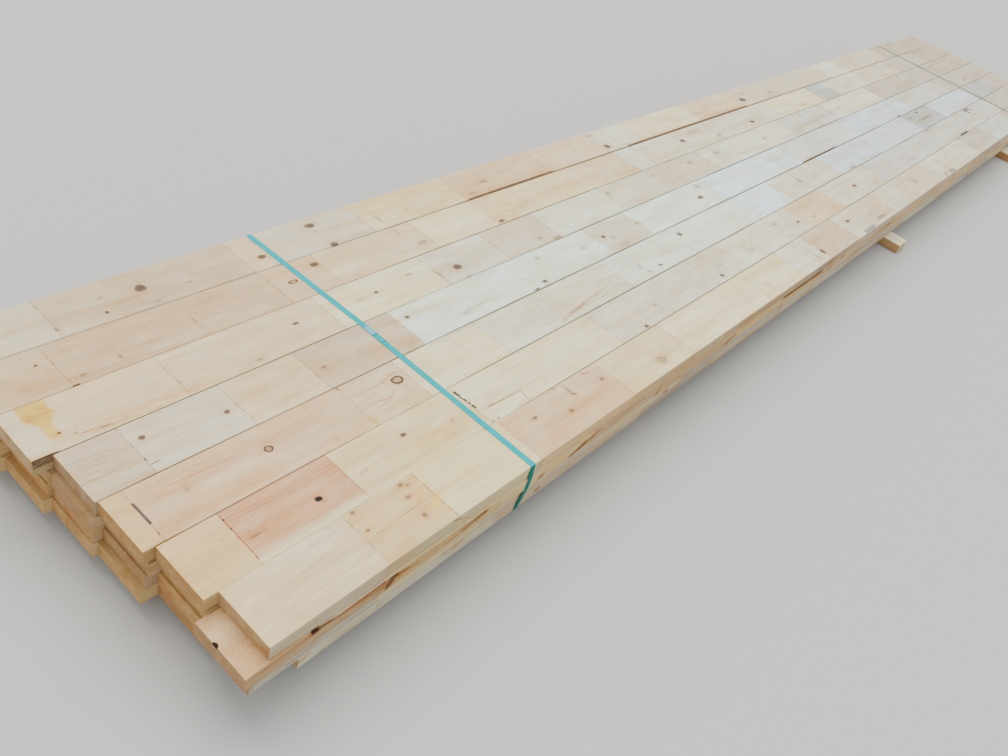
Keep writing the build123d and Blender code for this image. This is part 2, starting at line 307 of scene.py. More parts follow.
# Everything that turns the wood signals into colour, roughness and bump.
def build_finish_group():
    w, i, o = make_group("finish", [
        (C, "Tone", (0.7, 0.6, 0.45, 1.0)), (C, "SideTint", (1.0, 1.0, 1.0, 1.0)),
        (C, "EndTint", (1.0, 1.0, 1.0, 1.0)),
        (F, "Late", 0.0), (F, "Fibre", 0.0), (F, "Streak", 0.0), (F, "Fine", 0.0),
        (F, "Grain", 0.3), (F, "Joint", 0.0), (F, "JointMark", 0.0),
        (F, "Dark", 0.0), (F, "Ring", 0.0), (F, "Halo", 0.0),
        (F, "X", 0.0), (F, "Y", 0.0), (F, "Z", 0.0), (F, "Seed", 0.0),
        (F, "Top", 0.0), (F, "Side", 0.0), (F, "End", 0.0)],
        [(C, "Color"), (F, "Rough")])
    base = i["Tone"]
    at = w.join(w.mad(i["X"], 6.5, i["Seed"]), w.mul(i["Y"], 17.0), w.mul(i["Z"], 17.0))
    patch = w.sub(w.noise(at, 1.0, 4.0, 0.58), 0.5)
    at2 = w.join(w.mad(i["X"], 3.1, w.add(i["Seed"], 40.0)), w.mul(i["Y"], 26.0), w.mul(i["Z"], 26.0))
    patch2 = w.sub(w.noise(at2, 1.0, 4.0, 0.6), 0.5)
    late_col = w.mix(1.0, base, (0.78, 0.60, 0.44, 1.0), "MULTIPLY")
    plain_sawn = w.mul(w.math("POWER", i["Grain"], 1.6), 1.05)
    grain = w.mul(i["Late"], w.top(plain_sawn, w.mul(i["End"], 0.75)))
    col = w.mix(w.math("MINIMUM", grain, 1.0), base, late_col)
    # soft patches: pink or yellow one way, paler and greyer the other
    col = w.mix(1.0, col, w.join(w.mad(patch, -0.12, 1.0), w.mad(patch, -0.46, 1.0), w.mad(patch, -0.90, 1.0)), "MULTIPLY")
    lift = w.mad(patch2, 0.34, 1.0)
    col = w.mix(1.0, col, w.join(lift, w.mad(patch2, 0.48, 1.0), w.mad(patch2, 0.52, 1.0)), "MULTIPLY")
    at3 = w.join(w.mad(i["X"], 15.0, w.add(i["Seed"], 9.0)), w.mul(i["Y"], 42.0), w.mul(i["Z"], 42.0))
    mottle = w.sub(w.noise(at3, 1.0, 3.0, 0.6), 0.5)
    col = w.mix(1.0, col, w.join(w.mad(mottle, 0.14, 1.0), w.mad(mottle, 0.32, 1.0), w.mad(mottle, 0.48, 1.0)), "MULTIPLY")
    # lengthwise streaks, warm one way and grey the other
    warm = w.smooth(i["Streak"], 0.02, 0.22)
    cool = w.smooth(i["Streak"], -0.02, -0.22)
    col = w.mix(w.mul(warm, 0.68), col, w.mix(1.0, col, (0.92, 0.80, 0.66, 1.0), "MULTIPLY"))
    col = w.mix(w.mul(cool, 0.6), col, w.mix(1.0, col, (0.90, 0.93, 0.97, 1.0), "MULTIPLY"))
    # fibres
    fib = w.mad(i["Fibre"], 0.28, 1.0)
    col = w.mix(1.0, col, w.join(fib, w.mad(i["Fibre"], 0.33, 1.0), w.mad(i["Fibre"], 0.40, 1.0)), "MULTIPLY")
    fleck = w.mad(i["Fine"], 0.20, 1.0)
    col = w.mix(1.0, col, w.join(fleck, fleck, fleck), "MULTIPLY")
    # sides: the side tint, which is painted shade (and painted light in the seams); ends: the end-grain tint
    col = w.mix(i["Side"], col, w.mix(1.0, col, i["SideTint"], "MULTIPLY"))
    blot = w.noise(w.join(w.mul(i["X"], 30.0), w.mad(i["Y"], 30.0, i["Seed"]), w.mul(i["Z"], 40.0)), 1.0, 3.0, 0.6)
    end_tint = w.mix(w.smooth(blot, 0.35, 0.70), i["EndTint"],
                     w.mix(1.0, i["EndTint"], (0.86, 0.80, 0.74, 1.0), "MULTIPLY"))
    col = w.mix(i["End"], col, w.mix(1.0, col, end_tint, "MULTIPLY"))
    # knots
    col = w.mix(w.mul(i["Halo"], 0.42), col, w.mix(1.0, col, (0.90, 0.70, 0.52, 1.0), "MULTIPLY"))
    kn = w.noise(w.join(w.mul(i["X"], 260.0), w.mul(i["Y"], 260.0), w.mul(i["Z"], 260.0)), 1.0, 2.0, 0.6)
    ring_col = w.mix(w.smooth(kn, 0.35, 0.65), (0.075, 0.040, 0.026, 1.0), (0.17, 0.088, 0.050, 1.0))
    dark_col = w.mix(w.smooth(kn, 0.35, 0.65), (0.034, 0.017, 0.012, 1.0), (0.085, 0.042, 0.026, 1.0))
    col = w.mix(w.math("MINIMUM", i["Ring"], 1.0), col, ring_col)
    col = w.mix(w.math("MINIMUM", i["Dark"], 1.0), col, dark_col)
    # glue lines of the finger joints and the brown marks along them
    col = w.mix(w.mul(i["Joint"], 0.62), col, w.mix(1.0, col, (0.46, 0.32, 0.20, 1.0), "MULTIPLY"))
    col = w.mix(i["JointMark"], col, (0.14, 0.075, 0.042, 1.0))
    # handling dirt, mostly grey and faint
    dirt = w.noise(w.join(w.mad(i["X"], 5.0, i["Seed"]), w.mul(i["Y"], 13.0), w.mul(i["Z"], 13.0)), 1.0, 5.0, 0.68)
    dm = w.mul(w.smooth(dirt, 0.55, 0.78), 0.55)
    col = w.mix(dm, col, w.mix(1.0, col, (0.80, 0.78, 0.78, 1.0), "MULTIPLY"))
    scuff = w.noise(w.join(w.mad(i["X"], 24.0, i["Seed"]), w.mul(i["Y"], 62.0), w.mul(i["Z"], 62.0)), 1.0, 3.0, 0.62)
    sm = w.mul(w.smooth(scuff, 0.64, 0.77), w.smooth(dirt, 0.42, 0.60, 0.15, 0.80))
    sm = w.mul(sm, w.smooth(i["X"], 0.3, 2.2, 0.55, 1.25))
    col = w.mix(sm, col, w.mix(1.0, col, (0.66, 0.60, 0.57, 1.0), "MULTIPLY"))
    speck = w.noise(w.join(w.mad(i["X"], 90.0, i["Seed"]), w.mul(i["Y"], 170.0), w.mul(i["Z"], 170.0)), 1.0, 1.0, 0.5)
    col = w.mix(w.mul(w.smooth(speck, 0.755, 0.80), 0.45), col, w.mix(1.0, col, (0.62, 0.54, 0.48, 1.0), "MULTIPLY"))
    w.feed(o["Color"], col)
    rough = w.mad(i["Late"], -0.06, 0.66)
    rough = w.add(rough, w.mul(i["End"], 0.16))
    rough = w.sub(rough, w.mul(w.low(i["Dark"], 1.0), 0.12))
    w.feed(o["Rough"], w.add(rough, w.mul(i["Fibre"], 0.10)))


# Relief of the surface: fibres on the faces, saw marks across the ends.
def build_relief_group():
    w, i, o = make_group("relief", [
        (F, "X", 0.0), (F, "Y", 0.0), (F, "Z", 0.0), (F, "End", 0.0)], [(F, "Height")])
    at = w.join(w.mul(i["X"], w.mad(i["End"], 600.0, 14.0)), w.mul(i["Y"], 560.0), w.mul(i["Z"], 560.0))
    n = w.sub(w.noise(at, 1.0, 2.0, 0.6), 0.5)
    saw = w.math("SINE", w.mul(w.add(i["Y"], w.mul(i["Z"], 0.35)), 5200.0))
    h = w.mul(n, w.mad(i["End"], 0.00006, 0.00020))
    w.feed(o["Height"], w.add(h, w.mul(w.mul(saw, i["End"]), 0.00003)))


# A tapered stroke between two points, such as a crack, streak or spot.
def build_dash_group():
    w, i, o = make_group("dash", [
        (F, "X", 0.0), (F, "Y", 0.0), (F, "X0", 0.0), (F, "Y0", 0.0), (F, "DX", 0.0), (F, "DY", 0.0),
        (F, "R0", 0.001), (F, "R1", 0.001), (F, "Wob", 0.0), (F, "Soft", 0.4)], [(F, "Mask")])
    px, py = w.sub(i["X"], i["X0"]), w.sub(i["Y"], i["Y0"])
    dot = w.add(w.mul(px, i["DX"]), w.mul(py, i["DY"]))
    len2 = w.add(w.mul(i["DX"], i["DX"]), w.mul(i["DY"], i["DY"]))
    t = w.math("DIVIDE", dot, w.top(len2, 1e-9), clamp=True)
    d = w.length(w.sub(px, w.mul(t, i["DX"])), w.sub(py, w.mul(t, i["DY"])))
    r = w.add(i["R0"], w.mul(t, w.sub(i["R1"], i["R0"])))
    q = w.add(w.div(d, r), i["Wob"])
    w.feed(o["Mask"], w.smooth(q, w.inv(i["Soft"]), w.add(1.0, i["Soft"]), 1.0, 0.0))


build_wood_group()
build_knot_group()
build_finish_group()
build_relief_group()
build_dash_group()


def face_masks(w):
    n = w.new("ShaderNodeNewGeometry")
    t = w.new("ShaderNodeVectorTransform", vector_type="NORMAL", convert_from="WORLD", convert_to="OBJECT")
    w.feed(t.inputs[0], n.outputs["True Normal"])
    nx, ny, nz = w.split(t.outputs[0])
    end = w.smooth(w.math("ABSOLUTE", nx), 0.6, 0.9)
    side = w.smooth(w.math("ABSOLUTE", ny), 0.55, 0.85)
    top = w.smooth(nz, 0.55, 0.85)
    return top, side, end


def board_coords(w, y_right, z_bottom, crook=0.0):
    """Stack x, and y and z across the board, in metres."""
    tc = w.new("ShaderNodeTexCoord")
    x, y, z = w.split(tc.outputs["Object"])
    x = w.add(x, SHIFT_X)
    y = w.add(y, SHIFT_Y - y_right)
    if crook:
        phase = w.linear_map(x, CROOK_X0, CROOK_X1, 0.0, math.pi)
        y = w.sub(y, w.mul(w.math("SINE", phase), crook))
    z = w.sub(z, z_bottom)
    return x, y, z


def fingers(w, x, z, pitch=0.0076, reach=0.011):
    """Shifts x in a zigzag over the thickness, flat ends at the top face."""
    tri = w.math("PINGPONG", w.add(z, 0.0), pitch / 2)
    flat = w.smooth(w.div(tri, pitch / 2), 0.12, 0.88)
    return w.mad(flat, reach, x)


class Coat:
    """A board's colour.  Marks are laid on it one after another, each worked out
    only when the colour below it is there, so that few values are in use at a
    time: a material with too many of them comes out black."""

    def __init__(self, w, x, y, z, seed, tone, grain, masks, wood, knots, joint, mark, side_shading, end_tint):
        top, side, end = masks
        dark, ring, halo = knots
        self.w, self.at = w, dict(X=x, Y=y, Z=z, End=end)
        self.g = w.group("finish", Tone=tone, SideTint=side_shading, EndTint=end_tint,
                         Late=wood.outputs["Late"], Fibre=wood.outputs["Fibre"], Streak=wood.outputs["Streak"],
                         Fine=wood.outputs["Fine"], Grain=grain, Joint=joint, JointMark=mark,
                         Dark=dark, Ring=ring, Halo=halo, X=x, Y=y, Z=z, Seed=seed, Top=top, Side=side, End=end)
        self.col = self.g.outputs["Color"]
        s = w.new("ShaderNodeSeparateColor")
        w.feed(s.inputs[0], self.col)
        self.ready = s.outputs[0]

    def after(self, v):
        """The same value, but there only once the wood's own colour is."""
        return self.w.mad(self.ready, 1e-9, v)

    def append(self, layer):
        mask, colour, mode = layer
        w = self.w
        self.col = w.mix(mask, self.col, w.mix(1.0, self.col, colour, "MULTIPLY") if mode == "tint" else colour)

    def finish(self):
        w = self.w
        bsdf = w.new("ShaderNodeBsdfPrincipled")
        w.feed(bsdf.inputs["Base Color"], self.col)
        w.feed(bsdf.inputs["Roughness"], self.g.outputs["Rough"])
        bsdf.inputs["Specular IOR Level"].default_value = 0.12
        bump = w.new("ShaderNodeBump")
        bump.inputs["Strength"].default_value = 0.55
        bump.inputs["Distance"].default_value = 1.0
        relief = w.group("relief", **self.at)
        w.feed(bump.inputs["Height"], relief.outputs[0])
        w.feed(bsdf.inputs["Normal"], bump.outputs[0])
        out = w.new("ShaderNodeOutputMaterial")
        w.feed(out.inputs[0], bsdf.outputs[0])


def stroke(w, x, y, wob, line, soft=0.35):
    """Mask of a stroke (x0, y0, x1, y1, r0, r1), all in metres."""
    x0, y0, x1, y1, r0, r1 = line
    g = w.group("dash", X=x, Y=y, X0=x0, Y0=y0, DX=x1 - x0, DY=y1 - y0, R0=r0, R1=r1, Wob=wob, Soft=soft)
    return g.outputs[0]


def band(w, x, y, x0, x1, y0, y1, sx, sy):
    """Soft-edged oblong."""
    along = w.mul(w.smooth(x, x0 - sx, x0 + sx), w.smooth(x, x1 - sx, x1 + sx, 1.0, 0.0))
    across = w.mul(w.smooth(y, y0 - sy, y0 + sy), w.smooth(y, y1 - sy, y1 + sy, 1.0, 0.0))
    return w.mul(along, across)


def new_material(name):
    m = bpy.data.materials.new(name)
    m.use_nodes = True
    m.node_tree.nodes.clear()
    return m, Nodes(m.node_tree)


END_UPPER = (0.71, 0.61, 0.53, 1.0)
END_LOWER = (0.72, 0.55, 0.405, 1.0)
# painted shade: the right-hand sides of the top boards are tinted darker and greyer than the tops, as faces standing in
# shade
SIDE_SHADE_TOP = (0.76, 0.83, 0.93, 1.0)
SIDE_SHADE_MID = (0.79, 0.695, 0.62, 1.0)

# kinds of knot: core, rim, glow
KINDS = {
    "black": (1.25, 0.6, 1.0),
    "dark": (0.86, 0.75, 0.9),
    "ring": (0.34, 1.0, 1.0),
    "soft": (0.46, 0.18, 0.7),
    "brown": (0.62, 0.30, 1.1),
    "faint": (0.22, 0.0, 0.55),
    "rosy": (0.34, 0.42, 1.3),
    "mark": (0.80, 0.0, 0.15),
    "grey": (0.26, 0.0, 0.05),
    "warm": (0.0, 0.0, 1.25),
}

# Top boards, right-hand board first.  blocks: where each glued block starts
# (mm), its tone and how plainly its rings show.  knots: x, y across the board,
# half-length, half-width (mm) and kind.
TOP = [
    dict(blocks=[
        (-10, "pinkpale", .30), (272, "yellow", .30), (460, "palewarm", .22), (729, "pink", .35), (1112, "cream", .30),
        (1418, "pale", .22), (1900, "pale", .25), (2170, "white", .2), (2295, "whitewarm", .2),
        (2385, "tan", .35), (2655, "whitewarm", .25), (2820, "pinkgrey", .3), (3080, "whitewarm", .22), (3276, "pinkgrey", .3),
        (3705, "whitewarm", .25), (4330, "greytan", .3), (4700, "grey", .2), (5180, "greytan", .3), (5560, "greytan", .3)],
        knots=[
        (290, 84, 5, 4, "brown"), (410, 98, 7, 5, "brown"), (405, 45, 6, 7, "brown"), (294, 134, 6, 4, "brown"),
        (419, 131, 8, 5, "brown"), (234, 134, 5, 4, "grey"), (395, 71, 42, 0.9, "soft"), (430, 122, 6, 4, "soft"),
        (818, 96, 9, 5, "brown"), (915, 60, 7, 5, "brown"), (966, 108, 4, 16, "soft"), (1080, 88, 8, 6, "brown"),
        (1298, 39, 15, 12, "rosy"), (1965, 50, 6, 16, "faint"), (2330, 38, 5, 18, "soft"), (2386, 42, 9, 12, "dark"),
        (2730, 88, 14, 6, "dark"), (2826, 75, 5, 26, "grey"), (2915, 62, 26, 10, "faint"), (2935, 24, 42, 9, "soft"),
        (3487, 72, 18, 14, "soft"), (3712, 55, 6, 30, "grey"), (3775, 18, 20, 12, "soft"), (4960, 82, 26, 10, "grey")]),
    dict(blocks=[
        (-40, "butter", .22), (93, "salmon", 1.0), (348, "cream", .25), (718, "pale", .35), (1258, "whitewarm", .25),
        (1804, "whitewarm", .3), (2003, "white", .22), (2340, "whitewarm", .25), (2530, "pinkpale", .55), (2840, "whitewarm", .3),
        (3325, "grey", .2), (3690, "grey", .2), (3762, "grey", .2), (4200, "grey", .2), (4620, "grey", .2),
        (5000, "grey", .25), (5290, "greytan", .3), (5760, "greytan", .3)],
        knots=[
        (265, 58, 8, 7, "black"), (522, 90, 7, 5, "dark"), (70, 84, 7, 3, "faint"), (120, 58, 15, 2, "soft"),
        (385, 60, 16, 3, "faint"), (645, 60, 5, 3, "soft"), (1385, 10, 7, 6, "dark"), (1500, 55, 7, 4, "soft"),
        (1740, 51, 24, 4, "faint"), (1856, 24, 8, 7, "dark"), (1905, 60, 30, 6, "faint"), (2095, 60, 7, 6, "soft"),
        (2122, 55, 8, 6, "soft"), (2301, 80, 5, 24, "grey"), (2370, 94, 12, 9, "soft"), (2496, 53, 11, 5, "dark"),
        (2612, 38, 14, 5, "soft"), (2785, 30, 22, 8, "faint"), (3087, 66, 13, 8, "dark"), (3250, 33, 34, 12, "faint"),
        (3752, 33, 30, 9, "faint"), (4252, 128, 28, 8, "soft"), (4924, 127, 46, 9, "mark"), (4902, 106, 18, 22, "mark")]),
    dict(blocks=[
        (-60, "butter", .25), (-9, "pink", .35), (497, "pinkpale", .85), (665, "pale", .22), (950, "white", .7),
        (1518, "clear", .22), (1898, "clear", .25), (2380, "bluewhite", .2), (2648, "whitewarm", .3), (3150, "lilac", .2),
        (3400, "lilac", .2), (3660, "lilac", .2), (4000, "lilac", .2), (4230, "greyblue", .4),
        (4640, "lilac", .2), (5270, "greyblue", .3), (5700, "greytan", .3)],
        knots=[
        (268, 74, 9, 8, "ring"), (85, 74, 6, 12, "faint"), (118, 50, 14, 2, "faint"), (633, 84, 16, 11, "ring"),
        (499, 11, 5, 5, "dark"), (398, 15, 8, 7, "faint"), (1268, 27, 60, 6, "faint"), (1325, 4, 18, 4, "grey"),
        (1627, 58, 7, 12, "soft"), (1637, 22, 9, 5, "soft"), (1704, 27, 9, 4, "dark"), (1935, 98, 10, 9, "dark"),
        (2845, 77, 10, 20, "soft"), (3272, 8, 26, 7, "soft"), (3440, 68, 34, 6, "grey"), (3880, 76, 28, 9, "grey"),
        (4440, 116, 24, 9, "mark"), (4300, 104, 20, 7, "soft"), (4420, 62, 100, 7, "soft"), (4890, 90, 28, 9, "grey")]),
    dict(blocks=[
        (-70, "tan", .35), (65, "pinkgrey", .22), (292, "pinkpale", .25), (488, "tan", .5), (783, "clear", .22),
        (1230, "clear", .22), (1616, "whitewarm", .35), (1846, "clear", .25), (2352, "bluewhite", .2),
        (3036, "cool", .25), (3692, "lilac", .2), (4490, "grey", .25), (5150, "greytan", .25), (5520, "greytan", .3)],
        knots=[
        (91, 92, 6, 5, "dark"), (263, 63, 6, 5, "dark"), (66, 40, 2, 5, "mark"), (78, 24, 13, 1.6, "mark"),
        (520, 64, 6, 5, "soft"), (815, 100, 6, 5, "dark"), (966, 33, 14, 3, "soft"), (1015, 40, 60, 3, "faint"),
        (1228, 4, 16, 4, "mark"), (1280, 17, 10, 6, "dark"), (1352, 105, 8, 9, "soft"), (1536, 68, 9, 5, "soft"),
        (1655, 77, 8, 6, "dark"), (1685, 60, 10, 5, "soft"), (1845, 73, 9, 8, "soft"), (1690, 16, 40, 13, "faint"),
        (2250, 60, 16, 8, "dark"), (2316, 115, 18, 10, "soft"), (2900, 90, 24, 9, "faint"), (3400, 10, 40, 6, "grey"),
        (4250, 6, 30, 6, "mark"), (4445, 118, 20, 8, "grey"), (5560, 44, 34, 14, "grey")]),
    dict(blocks=[
        (-105, "pinkpale", .22), (233, "pinkpale", .3), (657, "pale", .22), (1022, "whitewarm", .25), (1275, "pinkgrey", .4),
        (1522, "white", .2), (1885, "whitewarm", .25), (2190, "pinkgrey", .3), (2566, "white", .25),
        (2990, "white", .2), (3300, "grey", .3), (3800, "white", .2), (4400, "greytan", .3), (4850, "greytan", .3),
        (5150, "greytan", .3), (5420, "tanpink", .35)],
        knots=[
        (562, 77, 8, 4, "dark"), (418, 17, 10, 3, "soft"), (55, 14, 9, 2, "soft"), (85, 13, 30, 0.9, "soft"),
        (-22, 42, 4, 3, "dark"), (2, 27, 3, 3, "soft"), (30, 20, 36, 1.4, "faint"), (235, 47, 2, 7, "soft"),
        (816, 74, 6, 5, "dark"), (765, 70, 26, 9, "faint"), (945, 90, 12, 4, "soft"), (960, 112, 60, 3, "faint"),
        (1097, 49, 14, 10, "dark"), (1096, 3, 10, 3, "soft"), (1025, 46, 4, 14, "soft"), (1445, 30, 12, 5, "soft"),
        (1503, 6, 22, 8, "soft"), (1592, 34, 11, 9, "grey"), (1907, 99, 13, 9, "soft"), (2460, 94, 16, 8, "soft"),
        (2668, 88, 22, 12, "soft"), (3062, 62, 20, 9, "soft"), (3580, 52, 180, 9, "faint"), (4760, 40, 60, 8, "faint")]),
    dict(blocks=[
        (-110, "peach", .3), (62, "peach", .35), (608, "pink", .3), (769, "pinkpale", .25), (1126, "pale", .22),
        (1387, "cream", .25), (1850, "pinkpale", .25), (2190, "white", .25), (2295, "whitewarm", .25), (2860, "whitewarm", .25),
        (3430, "pale", .2), (3920, "greyblue", .2), (4126, "whitewarm", .2), (4330, "white", .2), (4560, "pinkgrey", .25),
        (5050, "greytan", .3), (5330, "greytan", .2), (5560, "tanpink", .3)],
        knots=[
        (33, 90, 4.5, 3, "dark"), (181, 33, 4, 8, "soft"), (92, 20, 8, 5, "soft"), (68, 1, 10, 3, "mark"),
        (660, 68, 12, 6, "ring"), (753, 100, 12, 8, "dark"), (374, 58, 2, 14, "soft"), (381, 36, 2, 10, "faint"),
        (265, 43, 36, 2, "faint"), (1058, 112, 5, 24, "faint"), (1092, 42, 20, 8, "soft"), (1406, 12, 12, 6, "dark"),
        (1500, 42, 90, 3, "faint"), (2040, 94, 18, 6, "faint"), (2604, 73, 14, 11, "dark"), (2745, 106, 60, 18, "faint"),
        (2842, 32, 14, 9, "soft"), (3166, 40, 18, 9, "dark"), (3700, 32, 18, 9, "soft"), (4630, 95, 26, 10, "faint")]),
    dict(blocks=[
        (-80, "sand", .22), (119, "tan", .3), (605, "pinkpale", .25), (672, "pinkgrey", .22), (1010, "cream", .3),
        (1395, "pink", .35), (1842, "pinkpale", .25), (2190, "whitewarm", .25), (2292, "white", .2), (2424, "pale", .25),
        (2896, "pinkpale", .3), (3312, "pinkgrey", .2), (3700, "pinkgrey", .25), (4005, "pinkgrey", .2), (4330, "white", .2),
        (4560, "pinkgrey", .2), (5200, "tanpink", .25), (5420, "tanpink", .35)],
        knots=[
        (338, 73, 12, 11, "dark"), (233, 31, 4, 4, "dark"), (120, 28, 5, 8, "soft"), (345, 13, 9, 4, "soft"),
        (448, 41, 7, 4, "soft"), (471, 69, 6, 5, "faint"), (657, 46, 11, 7, "dark"), (245, 82, 5, 3, "soft"),
        (858, 104, 14, 9, "dark"), (855, 77, 12, 5, "faint"), (860, 5, 11, 8, "dark"), (1058, 45, 4, 20, "soft"),
        (1172, 46, 9, 4, "soft"), (1440, 23, 16, 6, "soft"), (1530, 60, 18, 9, "soft"), (2105, 46, 16, 5, "faint"),
        (2210, 34, 14, 12, "dark"), (2205, 119, 14, 9, "soft"), (2292, 82, 8, 12, "grey"), (2680, 74, 90, 3, "faint"),
        (3352, 49, 22, 13, "dark"), (3632, 39, 18, 9, "soft"), (3420, 92, 30, 10, "faint")]),
]
WANES = {
    "top_board_7": [(1.388, 1.846, 5.0, 11.0), (2.296, 3.322, 5.5, 12.0)],
    "top_board_5": [(-0.130, -0.040, 3.0, 17.0)],
    "top_board_4": [(3.028, 3.392, 4.5, 8.0)],
    "top_board_2": [(4.425, 4.575, 9.0, 9.0)],
    "top_board_1": [(2.712, 2.838, 17.0, 7.0), (3.812, 3.908, 23.0, 8.0)],
    "second_board_1": [(0.038, 0.150, 5.0, 7.5), (2.000, 2.380, 4.5, 7.0)],
}
WANE_COLOUR = {
    "top_board_7": (166, 134, 108), "top_board_5": (150, 120, 92), "top_board_4": (138, 112, 90),
    "top_board_2": (112, 118, 126), "top_board_1": (176, 166, 156), "second_board_1": (92, 58, 34),
}


# only part of these cuts is bark; the rest is bare wood
BARE = {("second_board_1", 0): (0.084, 0.112), ("second_board_1", 1): (2.024, 2.352)}


def lay_wanes(extra, w, node, x, y, z):
    """Bark-coloured face of each wane, and the warm tinge beside it."""
    if node not in WANES:
        return
    bark = w.noise(w.join(w.mul(x, 85.0), w.mul(y, 240.0), w.mul(z, 240.0)), 1.0, 3.0, 0.6)
    light = linear(WANE_COLOUR[node])
    colour = w.mix(w.smooth(bark, 0.38, 0.62), tuple(v * {"top_board_7": 0.60, "top_board_4": 0.60, "top_board_1": 0.66}.get(node, 0.42) for v in light[:3]) + (1.0,), light)
    for j, (x0, x1, wide, deep) in enumerate(WANES[node]):
        x0, x1 = BARE.get((node, j), (x0, x1))
        u = w.add(w.div(y, wide / 1000.0), w.div(w.sub(BOARD_T, z), deep / 1000.0))
        soft = w.mul(w.smooth(x, x0, x0 + 0.02), w.smooth(x, x1 - 0.02, x1, 1.0, 0.0))
        face = w.mul(w.smooth(u, 1.02, 1.25, 1.0, 0.0), soft)
        near = w.mul(w.smooth(u, 1.0, 5.0, 0.55, 0.0), soft)
        extra.append((near, (0.88, 0.72, 0.56, 1.0), "tint"))
        extra.append((w.mul(face, w.smooth(bark, 0.30, 0.42, 0.75, 1.0)), colour, "paint"))


# painted shade: how much each seam's faces are darkened where the boards stand open, from the right
SEAM_SHADE = [(0.60, 0.60, 0.60, 1.0), (0.60, 0.62, 0.64, 1.0), (0.58, 0.57, 0.55, 1.0), (0.68, 0.63, 0.57, 1.0),
        (0.56, 0.54, 0.51, 1.0), (0.82, 0.76, 0.69, 1.0), (0.92, 0.80, 0.69, 1.0), (0.60, 0.60, 0.60, 1.0)]


def seam_shading(w, x, y, k):
    """The two faces of a seam: painted light where the boards touch, paler than the wood to cancel the shade in the
    groove, and painted shade where they stand apart.
    """
    left = w.math("GREATER_THAN", y, 0.070)
    seam = w.add(left, float(k))
    n = w.noise(w.join(w.mul(x, 1.9), w.mul(seam, 17.3), 0.5), 1.0, 2.0, 0.5)
    light = w.smooth(n, 0.44, 0.64)
    # painted light on the first seam's faces near the ends; the fourth seam gets painted shade there instead
    first = w.smooth(w.math("ABSOLUTE", w.sub(seam, 1.0)), 0.2, 0.4, 1.0, 0.0)
    light = w.top(light, w.mul(first, w.smooth(x, 0.72, 0.95, 1.0, 0.0)))
    fourth = w.smooth(w.math("ABSOLUTE", w.sub(seam, 4.0)), 0.2, 0.4, 1.0, 0.0)
    light = w.mul(light, w.sub(1.0, w.mul(fourth, w.smooth(x, 0.50, 0.60, 1.0, 0.0))))
    dull_shade = w.mix(left, SEAM_SHADE[k], SEAM_SHADE[k + 1])
    dull_shade = w.mix(w.smooth(x, 0.6, 1.4), dull_shade, w.mix(1.0, dull_shade, (0.86, 0.97, 1.08, 1.0), "MULTIPLY"))
    # painted light: the two seams farthest left are lifted pale near the ends, so that they hardly show
    faint = w.mul(w.smooth(seam, 4.6, 4.9), w.smooth(x, 0.55, 0.95, 1.0, 0.0))
    light = w.top(light, w.mul(faint, 0.8))
    tint = w.mix(light, dull_shade, (1.20, 1.34, 1.60, 1.0))
    outer = w.smooth(w.math("ABSOLUTE", w.sub(seam, 3.5)), 3.2, 3.4)
    # where a neighbour stops short the side stands open and takes the painted side shade, varied along the right-hand
    # board
    if k > 0 and NEAR_ENDS[k] < NEAR_ENDS[k - 1]:
        outer = w.top(outer, w.mul(w.inv(left), w.math("LESS_THAN", x, NEAR_ENDS[k - 1])))
    if k < 6 and NEAR_ENDS[k] < NEAR_ENDS[k + 1]:
        outer = w.top(outer, w.mul(left, w.math("LESS_THAN", x, NEAR_ENDS[k + 1])))
    if k:
        free = w.mix(w.smooth(x, -0.02, 0.0), (0.69, 0.71, 0.66, 1.0), SIDE_SHADE_TOP)
    else:
        free = w.mix(w.smooth(x, 0.455, 0.465), SIDE_SHADE_TOP, (0.78, 0.76, 0.79, 1.0))
        free = w.mix(w.smooth(x, 0.726, 0.734), free, (0.96, 0.93, 0.80, 1.0))
        free = w.mix(w.smooth(x, 1.109, 1.117), free, SIDE_SHADE_MID)
    return w.mix(outer, tint, free)


